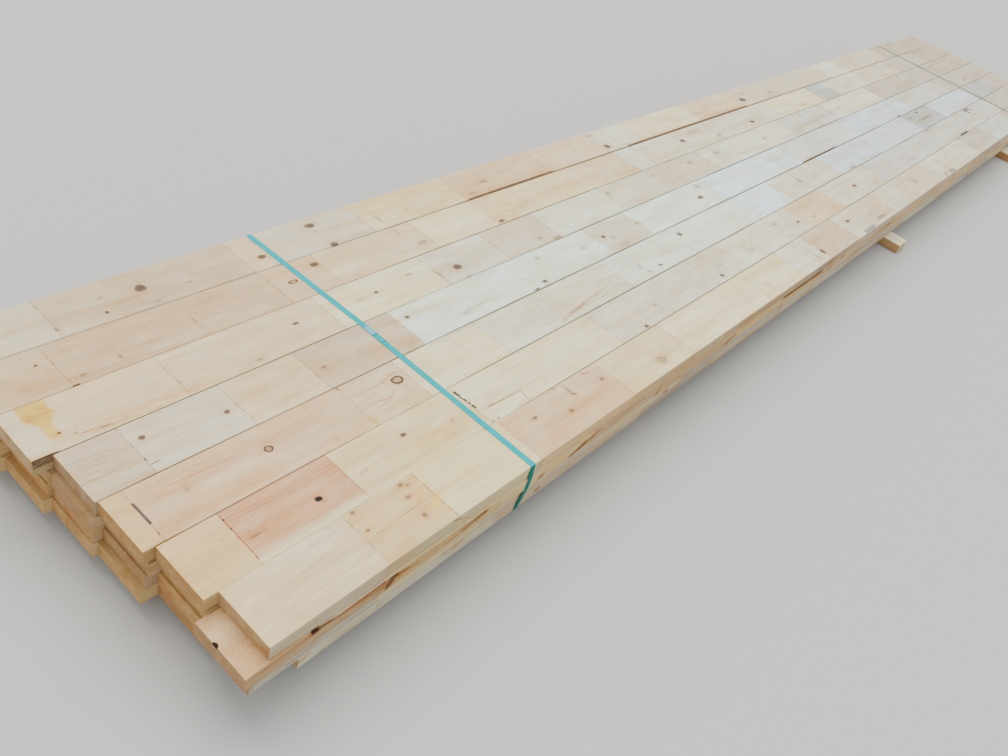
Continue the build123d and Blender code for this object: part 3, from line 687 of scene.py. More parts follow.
def top_board(k, data):
    node = f"top_board_{k + 1}"
    m, w = new_material(f"wood_{node}")
    seed = 11.3 + 5.7 * k
    x, y, z = board_coords(w, TOP_RIGHT[k], LAYERS["top"], TOP_CROOK[k])
    masks = face_masks(w)
    xf = fingers(w, x, z)
    blocks = data["blocks"]
    starts = [b[0] / 1000.0 for b in blocks]
    ident = None
    for s in starts[1:]:
        g = w.math("GREATER_THAN", xf, s)
        ident = g if ident is None else w.add(ident, g)
    fac = w.mad(ident, 1.0 / 32.0, 0.5 / 32.0)
    base = w.steps(fac, [(j / 32.0, tone(b[1])) for j, b in enumerate(blocks)])
    ends = starts[1:] + [7.0]
    info = w.steps(fac, [(j / 32.0, (starts[j] + 1.0, ends[j] + 1.0, b[2])) for j, b in enumerate(blocks)])
    si = w.new("ShaderNodeSeparateColor")
    w.feed(si.inputs[0], info)
    start, end_at, grain = w.sub(si.outputs[0], 1.0), w.sub(si.outputs[1], 1.0), si.outputs[2]
    u = w.sub(xf, start)
    away = w.low(u, w.sub(end_at, xf))
    # the glue line is as thin along a finger's flank as it is on the face
    thick = w.mad(masks[1], 0.0016, 0.0011)
    joint = w.smooth(away, w.mul(thick, 0.5), thick, 1.0, 0.0)
    jn = w.noise(w.join(w.mul(xf, 60.0), w.mad(y, 95.0, seed), 0.0), 1.0, 2.0, 0.6)
    joint = w.mul(joint, w.smooth(jn, 0.30, 0.60, 0.40, 1.0))
    bleed = w.mul(w.smooth(away, 0.0008, 0.0040, 0.30, 0.0), w.smooth(jn, 0.40, 0.60))
    joint = w.top(joint, bleed)
    blob = w.mul(w.smooth(jn, 0.60, 0.68), w.smooth(away, 0.0010, 0.0030, 1.0, 0.0))
    mark = w.mul(blob, 0.70)
    # knots belong to the face: they fade out down the sides
    wob = w.sub(w.noise(w.join(w.mul(x, 70.0), w.mul(y, 70.0), seed), 1.0, 2.0, 0.5), 0.5)
    chain = dict(Dark=0.0, Ring=0.0, Halo=0.0, Bend=0.0)
    xk, yk = w.mad(wob, 1e-9, x), w.mad(wob, 1e-9, y)
    for kx, ky, rx, ry, kind in data["knots"]:
        core, rim, glow = KINDS[kind]
        g = w.group("knot", X=xk, Y=yk, Wob=wob, CX=kx / 1000.0, CY=ky / 1000.0, RX=rx / 1000.0, RY=ry / 1000.0,
                    Core=core, Rim=rim, Glow=glow, **chain)
        chain = {n: g.outputs[n] for n in ("Dark", "Ring", "Halo", "Bend")}
    upper = w.smooth(z, 0.012, 0.034)
    knots = [w.mul(chain[n], upper) for n in ("Dark", "Ring", "Halo")]
    wood = w.group("wood", U=u, X=x, Y=y, Z=z, Id=ident, Seed=seed, Bend=chain["Bend"])
    extra = Coat(w, x, y, z, seed, base, grain, masks, wood, knots, joint, mark, seam_shading(w, x, y, k), END_UPPER)
    x, y, z = extra.after(x), extra.after(y), extra.after(z)
    lay_wanes(extra, w, node, x, y, z)
    # painted highlight: a pale warm line along the top edge of the near end, where the eased arris would catch the
    # light
    rim = w.mul(w.smooth(w.sub(x, NEAR_ENDS[k]), 0.002, 0.0075, 1.0, 0.0), masks[0])
    extra.append((w.mul(rim, 0.8), (1.05, 0.98, 0.80, 1.0), "tint"))
    patchy = w.noise(w.join(w.mad(x, 11.0, seed), w.mul(y, 48.0), 2.0), 1.0, 3.0, 0.6)
    for x0, x1, y0, y1, sx, sy, colour, strength in BANDS.get(k, []):
        soft = w.mul(band(w, x, y, x0, x1, y0, y1, sx, sy), masks[0])
        extra.append((w.mul(soft, w.smooth(patchy, 0.34, 0.62, 0.25 * strength, strength)), colour + (1.0,), "tint"))
    for line, colour, strength, mode in STROKES.get(k, []):
        extra.append((w.mul(w.mul(stroke(w, x, y, w.mul(wob, 1.1), line), masks[0]), strength), colour + (1.0,), mode))
    if k in (0, 1):
        # painted light: the eased edges of the first seam are lifted pale over the near boards, so that the seam hardly
        # shows
        near_edge_light = w.smooth(y, 0.1370, 0.1384) if k == 0 else w.smooth(y, 0.0016, 0.0030, 1.0, 0.0)
        extra.append((w.mul(near_edge_light, w.smooth(x, 0.70, 0.90, 1.0, 0.0)), (1.07, 1.09, 1.12, 1.0), "tint"))
    # painted shade: the eased edges along the seams are darkened in patches from about 0.75 m on
    seam_edge_shade = None
    if k < 6:
        seam_edge_shade = w.smooth(y, 0.1368, 0.1386)
    if k > 0:
        right_side = w.smooth(y, 0.0014, 0.0032, 1.0, 0.0)
        seam_edge_shade = right_side if seam_edge_shade is None else w.top(seam_edge_shade, right_side)
    extra.append((w.mul(w.mul(seam_edge_shade, w.smooth(x, 0.75, 1.20)), w.smooth(patchy, 0.30, 0.60, 0.25, 0.75)), (0.79, 0.755, 0.72, 1.0), "tint"))
    if k == 0:
        extra.append((w.mul(band(w, x, z, 1.25, 2.45, -0.02, 0.06, 0.12, 0.01), masks[1]), (0.86, 0.79, 0.78, 1.0), "tint"))
        extra.append((w.mul(band(w, x, z, 1.68, 2.42, -0.02, 0.030, 0.12, 0.006), masks[1]), (0.82, 0.76, 0.70, 1.0), "tint"))
        for line, colour, strength, mode in SIDE_STROKES["top_board_1"]:
            swob = w.mul(w.sub(w.noise(w.join(w.mul(x, 60.0), w.mul(z, 160.0), 7.0), 1.0, 2.0, 0.6), 0.5), 1.4)
            extra.append((w.mul(w.mul(stroke(w, x, z, swob, line), masks[1]), strength), colour + (1.0,), mode))
    if k == 4:
        # resin soaked into the near end
        rn = w.noise(w.join(w.mul(x, 55.0), w.mul(y, 55.0), 4.0), 1.0, 3.0, 0.6)
        half = w.smooth(y, 0.070, 0.100, 0.013, 0.029)
        dist = w.add(w.sub(w.math("ABSOLUTE", w.add(x, 0.031)), half), w.mul(w.sub(rn, 0.5), 0.012))
        stain = w.mul(w.smooth(dist, -0.005, 0.003, 1.0, 0.0), w.smooth(y, 0.014, 0.045))
        extra.append((w.mul(stain, 0.95), (0.97, 0.83, 0.31, 1.0), "tint"))
        deep = w.mul(stain, w.mul(w.smooth(rn, 0.50, 0.64), w.smooth(y, 0.085, 0.10)))
        extra.append((w.mul(deep, 0.85), (0.80, 0.70, 0.55, 1.0), "tint"))
        streak = w.mul(stain, w.smooth(w.math("ABSOLUTE", w.sub(y, w.mad(x, -0.1, 0.102))), 0.001, 0.005, 1.0, 0.0))
        extra.append((w.mul(streak, 0.50), (0.78, 0.62, 0.46, 1.0), "tint"))
    if k == 2:
        # open joint with a dark slot, and the blue stain along the left edge
        slot_x = w.math("ABSOLUTE", w.add(w.sub(x, w.mul(w.sub(y, 0.074), -0.02)), 0.0085))
        slot = w.mul(w.smooth(slot_x, 0.0022, 0.0034, 1.0, 0.0),
                     w.mul(w.smooth(y, 0.043, 0.046), w.smooth(y, 0.102, 0.105, 1.0, 0.0)))
        extra.append((w.mul(slot, 0.94), linear((72, 62, 58)), "paint"))
        core = w.mul(slot, w.smooth(slot_x, 0.0004, 0.0014, 1.0, 0.0))
        extra.append((w.mul(core, w.smooth(y, 0.050, 0.060, 0.0, 0.55)), linear((126, 112, 104)), "paint"))
        blue = w.mul(w.mul(w.smooth(x, 0.74, 0.82), w.smooth(x, 0.945, 0.955, 1.0, 0.0)), w.smooth(y, 0.122, 0.132))
        extra.append((w.mul(blue, 0.75), (0.86, 0.90, 0.97, 1.0), "tint"))
    if k == 1:
        # two strips glued edge to edge beyond the strap
        glue = w.mul(w.smooth(w.math("ABSOLUTE", w.sub(y, 0.042)), 0.0004, 0.0014, 1.0, 0.0),
                     w.mul(w.smooth(x, 0.718, 0.722), w.smooth(x, 1.25, 1.256, 1.0, 0.0)))
        gn = w.noise(w.join(w.mul(x, 22.0), 1.0, 2.0), 1.0, 2.0, 0.6)
        extra.append((w.mul(glue, w.smooth(gn, 0.40, 0.60, 0.30, 0.95)), (0.62, 0.46, 0.36, 1.0), "tint"))
        # the sapwood edge of the red block
        red = w.mul(w.smooth(xf, 0.093, 0.094), w.smooth(xf, 0.347, 0.348, 1.0, 0.0))
        sap = w.mul(red, w.smooth(w.add(y, w.mul(w.sub(patchy, 0.5), 0.03)), 0.004, 0.034, 1.0, 0.0))
        extra.append((w.mul(sap, 0.85), tone("pale"), "paint"))
        # soft swirls in it round the knot
        ex, ey = w.sub(x, 0.262), w.sub(y, 0.058)
        turn = w.add(w.length(w.mul(ex, 0.30), ey), w.mul(w.sub(patchy, 0.5), 0.016))
        swirl = w.smooth(w.math("PINGPONG", turn, 0.0042), 0.0022, 0.0036)
        where = w.mul(w.mul(red, w.smooth(y, 0.030, 0.050)), w.smooth(patchy, 0.42, 0.58))
        extra.append((w.mul(w.mul(swirl, where), 0.55), (0.92, 0.76, 0.64, 1.0), "tint"))
    extra.finish()
    o = NODES[node]
    o.data.materials.clear()
    o.data.materials.append(m)


# soft tinges on the top faces: x0, x1, y0, y1, softness along and across, tint, strength
BANDS = {
    0: [(0.395, 0.475, 0.020, 0.138, 0.030, 0.020, (1.0, 0.84, 0.62), 0.7),
        (0.270, 0.400, 0.095, 0.138, 0.030, 0.012, (0.98, 0.86, 0.78), 0.7),
        (0.020, 0.230, 0.080, 0.120, 0.060, 0.018, (0.95, 0.94, 0.92), 0.8),
        (0.760, 1.080, 0.010, 0.050, 0.080, 0.015, (0.98, 0.86, 0.72), 0.8)],
    1: [(0.350, 0.520, 0.070, 0.130, 0.050, 0.020, (0.97, 0.88, 0.82), 0.9),
        (0.420, 0.600, 0.010, 0.050, 0.060, 0.015, (0.98, 0.93, 0.78), 0.8),
        (0.735, 0.853, 0.003, 0.037, 0.004, 0.002, (1.02, 1.06, 1.13), 1.0),
        (0.860, 1.240, 0.050, 0.125, 0.060, 0.025, (1.00, 1.03, 1.07), 0.9)],
    2: [(0.020, 0.400, 0.078, 0.112, 0.060, 0.012, (0.95, 0.82, 0.76), 1.0),
        (0.000, 0.300, 0.010, 0.040, 0.080, 0.012, (0.98, 0.90, 0.80), 0.8),
        (0.950, 1.500, 0.040, 0.110, 0.060, 0.020, (1.00, 0.96, 0.93), 0.6),
        (4.300, 4.580, 0.020, 0.120, 0.060, 0.020, (0.95, 0.86, 0.76), 0.9)],
    3: [(-0.080, 0.062, 0.000, 0.043, 0.003, 0.003, (1.03, 1.07, 1.14), 1.0),
        (-0.050, 0.060, 0.050, 0.130, 0.020, 0.015, (0.95, 0.91, 0.95), 0.9),
        (-0.050, 0.060, 0.036, 0.052, 0.020, 0.004, (0.98, 0.84, 0.68), 0.8),
        (0.490, 0.780, 0.020, 0.060, 0.040, 0.015, (0.97, 0.85, 0.72), 0.8)],
    4: [(-0.110, -0.045, 0.010, 0.150, 0.012, 0.010, (0.94, 1.01, 1.16), 1.0),
        (0.020, 0.330, 0.004, 0.030, 0.060, 0.006, (0.96, 0.82, 0.70), 0.9),
        (0.060, 0.600, 0.070, 0.120, 0.080, 0.020, (0.97, 0.97, 1.00), 0.8),
        (1.020, 1.280, 0.020, 0.080, 0.030, 0.015, (0.97, 0.86, 0.76), 0.8)],
    5: [(-0.100, 0.060, 0.010, 0.060, 0.040, 0.020, (0.98, 0.86, 0.76), 0.8),
        (0.100, 0.560, 0.060, 0.130, 0.080, 0.020, (0.98, 0.90, 0.84), 0.8)],
    6: [(0.120, 0.600, 0.010, 0.060, 0.080, 0.020, (0.97, 0.88, 0.78), 0.8)],
}
# strokes on the top faces: (x0, y0, x1, y1, r0, r1), colour, strength, mode
STROKES = {
    0: [((0.445, 0.053, 0.453, 0.059, 0.0120, 0.0095), (0.83, 0.58, 0.150), 0.80, "paint"),
        ((0.460, 0.112, 0.467, 0.120, 0.0075, 0.0055), (0.86, 0.66, 0.24), 0.75, "paint"),
        ((0.934, 0.1370, 0.941, 0.130, 0.0022, 0.0012), (0.25, 0.17, 0.13), 0.85, "paint"),
        ((0.961, 0.128, 0.972, 0.110, 0.0026, 0.0020), (0.48, 0.33, 0.24), 0.80, "paint"),
        ((0.966, 0.0950, 0.973, 0.092, 0.0042, 0.0036), (0.20, 0.12, 0.080), 0.85, "paint"),
        ((1.048, 0.130, 1.070, 0.123, 0.0036, 0.0016), (0.62, 0.45, 0.34), 0.85, "tint"),
        ((0.100, 0.104, 0.190, 0.118, 0.0060, 0.0030), (0.95, 0.93, 0.88), 0.8, "tint"),
        ((0.060, 0.072, 0.200, 0.092, 0.0016, 0.0026), (0.91, 0.89, 0.84), 0.8, "tint"),
        ((0.130, 0.050, 0.250, 0.066, 0.0030, 0.0012), (0.93, 0.90, 0.86), 0.8, "tint"),
        ((0.420, 0.080, 0.455, 0.100, 0.0050, 0.0030), (0.96, 0.86, 0.66), 0.7, "tint"),
        ((0.4585, 0.004, 0.4600, 0.134, 0.0010, 0.0010), (0.72, 0.46, 0.24), 0.8, "tint"),
        ((0.030, 0.030, 0.240, 0.078, 0.0016, 0.0007), (0.90, 0.84, 0.80), 0.7, "tint"),
        ((0.060, 0.016, 0.250, 0.046, 0.0012, 0.0009), (0.92, 0.86, 0.82), 0.7, "tint"),
        ((0.080, 0.088, 0.262, 0.122, 0.0018, 0.0010), (0.90, 0.85, 0.82), 0.7, "tint"),
        ((0.300, 0.068, 0.335, 0.066, 0.0015, 0.0006), (0.30, 0.17, 0.10), 0.7, "paint")],
    1: [((0.2635, 0.058, 0.2665, 0.058, 0.0058, 0.0056), (0.010, 0.006, 0.005), 0.97, "paint"),
        ((0.7165, 0.121, 0.7178, 0.109, 0.0046, 0.0038), (0.040, 0.024, 0.016), 0.92, "paint"),
        ((0.7160, 0.101, 0.7170, 0.098, 0.0032, 0.0026), (0.060, 0.036, 0.024), 0.85, "paint"),
        ((0.7190, 0.092, 0.7196, 0.087, 0.0036, 0.0030), (0.050, 0.030, 0.020), 0.90, "paint"),
        ((0.7200, 0.0785, 0.7204, 0.0755, 0.0030, 0.0030), (0.050, 0.030, 0.020), 0.90, "paint"),
        ((0.7212, 0.066, 0.7220, 0.057, 0.0040, 0.0026), (0.044, 0.026, 0.018), 0.90, "paint"),
        ((0.752, 0.0440, 0.800, 0.0395, 0.0030, 0.0018), (0.50, 0.34, 0.24), 0.85, "tint"),
        ((0.800, 0.0400, 0.860, 0.0370, 0.0022, 0.0016), (0.62, 0.45, 0.32), 0.85, "tint"),
        ((0.8600, 0.036, 0.8530, 0.004, 0.0018, 0.0022), (0.62, 0.46, 0.35), 0.85, "tint"),
        ((0.722, 0.0040, 0.728, 0.0050, 0.0034, 0.0026), (0.42, 0.28, 0.20), 0.80, "tint"),
        ((0.740, 0.0040, 0.746, 0.0050, 0.0034, 0.0026), (0.46, 0.31, 0.22), 0.80, "tint"),
        ((4.885, 0.128, 4.965, 0.124, 0.0085, 0.0075), (0.14, 0.12, 0.11), 0.85, "paint"),
        ((4.965, 0.124, 4.985, 0.098, 0.0090, 0.0060), (0.14, 0.12, 0.11), 0.85, "paint"),
        ((0.0950, 0.120, 0.0955, 0.121, 0.0022, 0.0018), (0.06, 0.035, 0.025), 0.9, "paint"),
        ((0.0935, 0.096, 0.0940, 0.098, 0.0020, 0.0016), (0.07, 0.040, 0.028), 0.9, "paint"),
        ((0.0932, 0.014, 0.0938, 0.132, 0.0011, 0.0009), (0.62, 0.36, 0.17), 0.9, "tint"),
        ((0.3478, 0.006, 0.3482, 0.100, 0.0010, 0.0009), (0.66, 0.42, 0.24), 0.8, "tint"),
        ((0.118, 0.066, 0.132, 0.060, 0.0020, 0.0008), (0.42, 0.26, 0.18), 0.7, "paint"),
        ((0.540, 0.082, 0.700, 0.100, 0.0010, 0.0005), (0.86, 0.74, 0.60), 0.6, "tint"),
        ((1.248, 0.124, 1.276, 0.118, 0.0020, 0.0008), (0.30, 0.22, 0.17), 0.8, "paint"),
        ((1.258, 0.084, 1.262, 0.060, 0.0012, 0.0008), (0.36, 0.26, 0.20), 0.8, "paint")],
    2: [((0.4940, 0.009, 0.5000, 0.012, 0.0062, 0.0050), (0.84, 0.60, 0.17), 0.70, "paint"),
        ((-0.010, 0.016, -0.008, 0.024, 0.0016, 0.0010), (0.16, 0.10, 0.07), 0.8, "paint"),
        ((0.230, 0.070, 0.275, 0.078, 0.0012, 0.0008), (0.72, 0.54, 0.44), 0.7, "tint"),
        ((0.060, 0.104, 0.300, 0.090, 0.0020, 0.0010), (0.84, 0.66, 0.58), 0.7, "tint"),
        ((0.120, 0.118, 0.440, 0.124, 0.0014, 0.0008), (0.90, 0.76, 0.66), 0.7, "tint"),
        ((1.180, 0.014, 1.300, 0.032, 0.0042, 0.0062), (0.82, 0.65, 0.54), 0.90, "tint"),
        ((1.300, 0.032, 1.455, 0.050, 0.0056, 0.0016), (0.82, 0.65, 0.54), 0.90, "tint"),
        ((1.300, 0.024, 1.440, 0.024, 0.0024, 0.0010), (0.86, 0.72, 0.62), 0.80, "tint"),
        ((1.120, 0.006, 1.250, 0.018, 0.0016, 0.0022), (0.88, 0.76, 0.66), 0.75, "tint"),
        ((0.653, 0.1062, 0.632, 0.1074, 0.0016, 0.0024), (0.80, 0.64, 0.52), 0.85, "tint"),
        ((0.632, 0.1074, 0.598, 0.0973, 0.0024, 0.0024), (0.78, 0.62, 0.50), 0.85, "tint"),
        ((0.598, 0.0973, 0.574, 0.0948, 0.0026, 0.0024), (0.80, 0.66, 0.54), 0.85, "tint"),
        ((0.574, 0.0948, 0.510, 0.1000, 0.0028, 0.0012), (0.84, 0.72, 0.62), 0.80, "tint"),
        ((0.500, 0.0640, 0.552, 0.0547, 0.0012, 0.0020), (0.86, 0.74, 0.64), 0.80, "tint"),
        ((0.552, 0.0547, 0.581, 0.0494, 0.0022, 0.0026), (0.80, 0.66, 0.55), 0.85, "tint"),
        ((0.581, 0.0494, 0.607, 0.0601, 0.0024, 0.0010), (0.84, 0.72, 0.62), 0.80, "tint"),
        ((0.545, 0.0404, 0.581, 0.0494, 0.0012, 0.0026), (0.84, 0.70, 0.60), 0.80, "tint"),
        ((0.656, 0.0321, 0.632, 0.0437, 0.0012, 0.0016), (0.84, 0.76, 0.70), 0.80, "tint"),
        ((0.632, 0.0437, 0.633, 0.0585, 0.0016, 0.0016), (0.82, 0.74, 0.68), 0.80, "tint"),
        ((0.633, 0.0585, 0.652, 0.0546, 0.0016, 0.0010), (0.84, 0.76, 0.70), 0.80, "tint"),
        ((0.497, 0.1360, 0.502, 0.1290, 0.0034, 0.0014), (0.50, 0.36, 0.28), 0.80, "tint")],
    3: [((-0.055, 0.048, 0.014, 0.045, 0.0007, 0.0006), (0.44, 0.27, 0.17), 0.8, "tint"),
        ((-0.058, 0.105, 0.042, 0.094, 0.0008, 0.0007), (0.50, 0.34, 0.26), 0.8, "tint"),
        ((-0.030, 0.078, 0.055, 0.070, 0.0014, 0.0008), (0.78, 0.62, 0.54), 0.7, "tint"),
        ((0.110, 0.060, 0.250, 0.064, 0.0014, 0.0006), (0.86, 0.80, 0.76), 0.6, "tint")],
    4: [((0.012, 0.019, 0.069, 0.012, 0.0009, 0.0012), (0.62, 0.34, 0.18), 0.9, "tint"),
        ((0.030, 0.010, 0.170, 0.004, 0.0010, 0.0014), (0.66, 0.44, 0.30), 0.8, "tint"),
        ((0.090, 0.020, 0.300, 0.014, 0.0014, 0.0008), (0.86, 0.66, 0.52), 0.8, "tint"),
        ((0.150, 0.030, 0.520, 0.036, 0.0012, 0.0008), (0.90, 0.78, 0.66), 0.7, "tint")],
    5: [((0.130, 0.018, 0.250, 0.022, 0.0010, 0.0006), (0.86, 0.70, 0.56), 0.7, "tint")],
    6: [((0.200, 0.050, 0.420, 0.044, 0.0012, 0.0008), (0.88, 0.76, 0.64), 0.7, "tint")],
}
# strokes on the right-hand sides, in x and height over the floor less the layer's own
SIDE_STROKES = {
    "top_board_1": [
        ((0.447, 0.034, 0.500, 0.008, 0.0030, 0.0010), (0.74, 0.48, 0.26), 0.8, "tint"),
        ((0.728, 0.014, 0.736, 0.028, 0.0028, 0.0016), (0.66, 0.40, 0.20), 0.8, "tint"),
        ((0.020, 0.020, 0.210, 0.024, 0.0016, 0.0008), (0.84, 0.74, 0.62), 0.6, "tint"),
        ((1.532, 0.016, 1.544, 0.018, 0.0030, 0.0020), (0.50, 0.30, 0.18), 0.8, "tint"),
        ((2.330, 0.010, 2.560, 0.006, 0.0022, 0.0008), (0.72, 0.56, 0.42), 0.7, "tint")],
    "second_board_1": [
        ((0.092, 0.0350, 0.104, 0.0345, 0.0032, 0.0022), (0.028, 0.014, 0.009), 0.95, "paint"),
        ((0.104, 0.0345, 0.150, 0.0320, 0.0016, 0.0008), (0.10, 0.052, 0.026), 0.85, "paint"),
        ((0.150, 0.0320, 0.262, 0.0345, 0.0010, 0.0022), (0.17, 0.090, 0.044), 0.75, "paint"),
        ((0.150, 0.0250, 0.268, 0.0220, 0.0010, 0.0050), (0.74, 0.56, 0.40), 0.8, "tint"),
        ((0.272, 0.008, 0.284, 0.034, 0.0060, 0.0130), (0.075, 0.038, 0.021), 0.80, "paint"),
        ((0.292, 0.028, 0.360, 0.020, 0.0060, 0.0008), (0.52, 0.31, 0.17), 0.8, "tint"),
        ((0.400, 0.016, 0.480, 0.0220, 0.0008, 0.0018), (0.24, 0.13, 0.070), 0.70, "paint"),
        ((0.480, 0.0220, 0.552, 0.0310, 0.0022, 0.0048), (0.12, 0.060, 0.032), 0.85, "paint"),
        ((0.430, 0.014, 0.640, 0.0200, 0.0036, 0.0010), (0.82, 0.66, 0.48), 0.8, "tint"),
        ((0.744, 0.010, 0.753, 0.011, 0.0052, 0.0050), (0.30, 0.10, 0.048), 0.85, "paint"),
        ((0.862, 0.006, 0.910, 0.018, 0.0034, 0.0064), (0.13, 0.066, 0.034), 0.90, "paint"),
        ((0.910, 0.018, 0.985, 0.031, 0.0062, 0.0016), (0.20, 0.105, 0.056), 0.85, "paint"),
        ((1.010, 0.030, 1.180, 0.0330, 0.0010, 0.0024), (0.55, 0.36, 0.22), 0.8, "tint"),
        ((1.252, 0.006, 1.260, 0.036, 0.0034, 0.0020), (0.15, 0.075, 0.038), 0.75, "paint"),
        ((1.640, 0.012, 1.700, 0.020, 0.0052, 0.0012), (0.22, 0.12, 0.066), 0.80, "paint"),
        ((2.002, 0.010, 2.024, 0.036, 0.0022, 0.0014), (0.13, 0.070, 0.038), 0.90, "paint"),
        ((2.030, 0.0350, 2.100, 0.0330, 0.0010, 0.0030), (0.060, 0.032, 0.020), 0.92, "paint"),
        ((2.100, 0.0345, 2.185, 0.0360, 0.0020, 0.0030), (0.075, 0.040, 0.024), 0.90, "paint"),
        ((2.180, 0.0320, 2.215, 0.0370, 0.0046, 0.0040), (0.045, 0.025, 0.016), 0.92, "paint"),
        ((2.215, 0.0360, 2.355, 0.0360, 0.0034, 0.0012), (0.075, 0.040, 0.024), 0.90, "paint"),
        ((2.410, 0.024, 2.560, 0.020, 0.0030, 0.0010), (0.26, 0.15, 0.085), 0.70, "paint")],
    "third_board_1": [
        ((0.030, 0.027, 0.046, 0.0295, 0.0024, 0.0008), (0.10, 0.060, 0.036), 0.85, "paint"),
        ((0.050, 0.012, 0.120, 0.016, 0.0050, 0.0020), (0.86, 0.68, 0.50), 0.8, "tint"),
        ((0.600, 0.012, 0.760, 0.020, 0.0020, 0.0008), (0.60, 0.44, 0.30), 0.7, "tint")],
    "bottom_board_1": [
        ((0.066, 0.020, 0.100, 0.030, 0.0100, 0.0040), (0.88, 0.60, 0.34), 0.85, "tint"),
        ((0.480, 0.031, 0.510, 0.0325, 0.0030, 0.0010), (0.34, 0.20, 0.12), 0.75, "paint")],
}

for k, data in enumerate(TOP):
    top_board(k, data)


# Boards below the top layer: blocks, tones and knots laid out at random from a
# seed of their own.
def lower_board(node, y_right, z_bottom, seed, side_shading, end_tint, tones, grain=0.45, spread=1.0, side_dark=0.0):
    m, w = new_material(f"wood_{node}")
    x, y, z = board_coords(w, y_right, z_bottom)
    masks = face_masks(w)
    xf = fingers(w, x, z)
    at = w.add(xf, 3.0 + seed * 1.37)
    cell = w.new("ShaderNodeTexVoronoi", voronoi_dimensions="1D", feature="F1")
    edge = w.new("ShaderNodeTexVoronoi", voronoi_dimensions="1D", feature="DISTANCE_TO_EDGE")
    for n in (cell, edge):
        w.feed(n.inputs["W"], at)
        n.inputs["Scale"].default_value = 2.9
        n.inputs["Randomness"].default_value = 0.8
    ident = w.mul(cell.outputs["W"], 13.7)
    u = w.sub(at, cell.outputs["W"])
    away = w.div(edge.outputs["Distance"], 2.9)
    rnd = w.new("ShaderNodeTexWhiteNoise", noise_dimensions="1D")
    w.feed(rnd.inputs["W"], w.add(ident, seed))
    n = len(tones)
    base = w.steps(rnd.outputs["Value"], [(j / n, tone(t)) for j, t in enumerate(tones)])
    thick = w.mad(masks[1], 0.0016, 0.0006)
    joint = w.smooth(away, w.mul(thick, 0.5), thick, 1.0, 0.0)
    # knots: one in each cell of a stretched grid wrapped round the board
    s = w.add(y, w.mul(z, -1.0))
    kn = w.new("ShaderNodeTexVoronoi", voronoi_dimensions="2D", feature="F1")
    w.feed(kn.inputs["Vector"], w.join(w.div(x, 0.23), w.mad(s, 1 / 0.085, seed), 0.0))
    kn.inputs["Scale"].default_value = 1.0
    px, py, pz = w.split(kn.outputs["Position"])
    rc, gc, bc = w.random(w.join(px, py, seed))
    wob = w.sub(w.noise(w.join(w.mul(x, 70.0), w.mul(s, 70.0), seed), 1.0, 2.0, 0.5), 0.5)
    g = w.group("knot", X=x, Y=s, Wob=wob, CX=w.mul(px, 0.23), CY=w.mul(w.sub(py, seed), 0.085),
                RX=w.mad(rc, 0.008, 0.004), RY=w.mad(rc, 0.005, 0.003),
                Core=w.smooth(gc, 0.55, 0.95, 0.0, 1.0), Rim=w.smooth(gc, 0.45, 0.7, 0.0, 0.9),
                Glow=w.smooth(gc, 0.4, 0.6, 0.0, 1.0))
    faces = w.inv(masks[2])
    knots = [w.mul(g.outputs[n], faces) for n in ("Dark", "Ring", "Halo")]
    wood = w.group("wood", U=u, X=x, Y=y, Z=z, Id=ident, Seed=seed, Bend=w.mul(g.outputs["Bend"], w.smooth(gc, 0.4, 0.6)))
    extra = Coat(w, x, y, z, seed, base, grain, masks, wood, knots, joint, 0.0, side_shading, end_tint)
    x, y, z = extra.after(x), extra.after(y), extra.after(z)
    lay_wanes(extra, w, node, x, y, z)
    if node == "second_board_1":
        # pink, curly figure on the ledge that stands out in front
        ledge = w.mul(w.smooth(x, 0.02, 0.09, 1.0, 0.0), masks[0])
        extra.append((ledge, (1.00, 0.81, 0.62, 1.0), "tint"))
        cn = w.noise(w.join(w.mul(x, 26.0), w.mul(y, 26.0), 5.0), 1.0, 2.0, 0.5)
        curl = w.add(w.length(w.add(x, 0.004), w.mul(w.sub(y, 0.046), 0.75)), w.mul(w.sub(cn, 0.5), 0.020))
        lines = w.smooth(w.math("PINGPONG", curl, 0.0048), 0.0030, 0.0044)
        lines = w.mul(w.mul(lines, ledge), w.mul(w.smooth(cn, 0.40, 0.58), w.smooth(y, 0.020, 0.034)))
        extra.append((w.mul(lines, 0.38), (0.88, 0.66, 0.52, 1.0), "tint"))
        orange = w.mul(w.smooth(x, 0.30, 0.80, 1.0, 0.15), masks[1])
        extra.append((orange, (0.87, 0.785, 0.72, 1.0), "tint"))
        rosy = w.mul(w.mul(w.smooth(cn, 0.46, 0.66), ledge), 0.55)
        extra.append((rosy, (0.97, 0.84, 0.76, 1.0), "tint"))
        # dark knot cut through by the near end
        kd = w.length(w.div(w.add(x, 0.049), 0.0052), w.div(w.sub(y, 0.0835), 0.0070))
        kd = w.add(kd, w.mul(wob, 0.7))
        extra.append((w.mul(w.smooth(kd, 0.85, 1.25, 1.0, 0.0), w.smooth(z, 0.0305, 0.0345)), (0.022, 0.009, 0.007, 1.0), "paint"))
    else:
        layer = node.split("_")[0]
        k = int(node.split("_")[-1]) - 1
        step = LOWER_ENDS[layer][k]
        # painted shade: the top of each end that stands out under the board above is darkened orange-brown near the end
        extra.append((w.mul(w.smooth(x, step + 0.015, step + 0.060, 1.0, 0.0), masks[0]), (0.60, 0.47, 0.34, 1.0), "tint"))
    if node == "bottom_board_1":
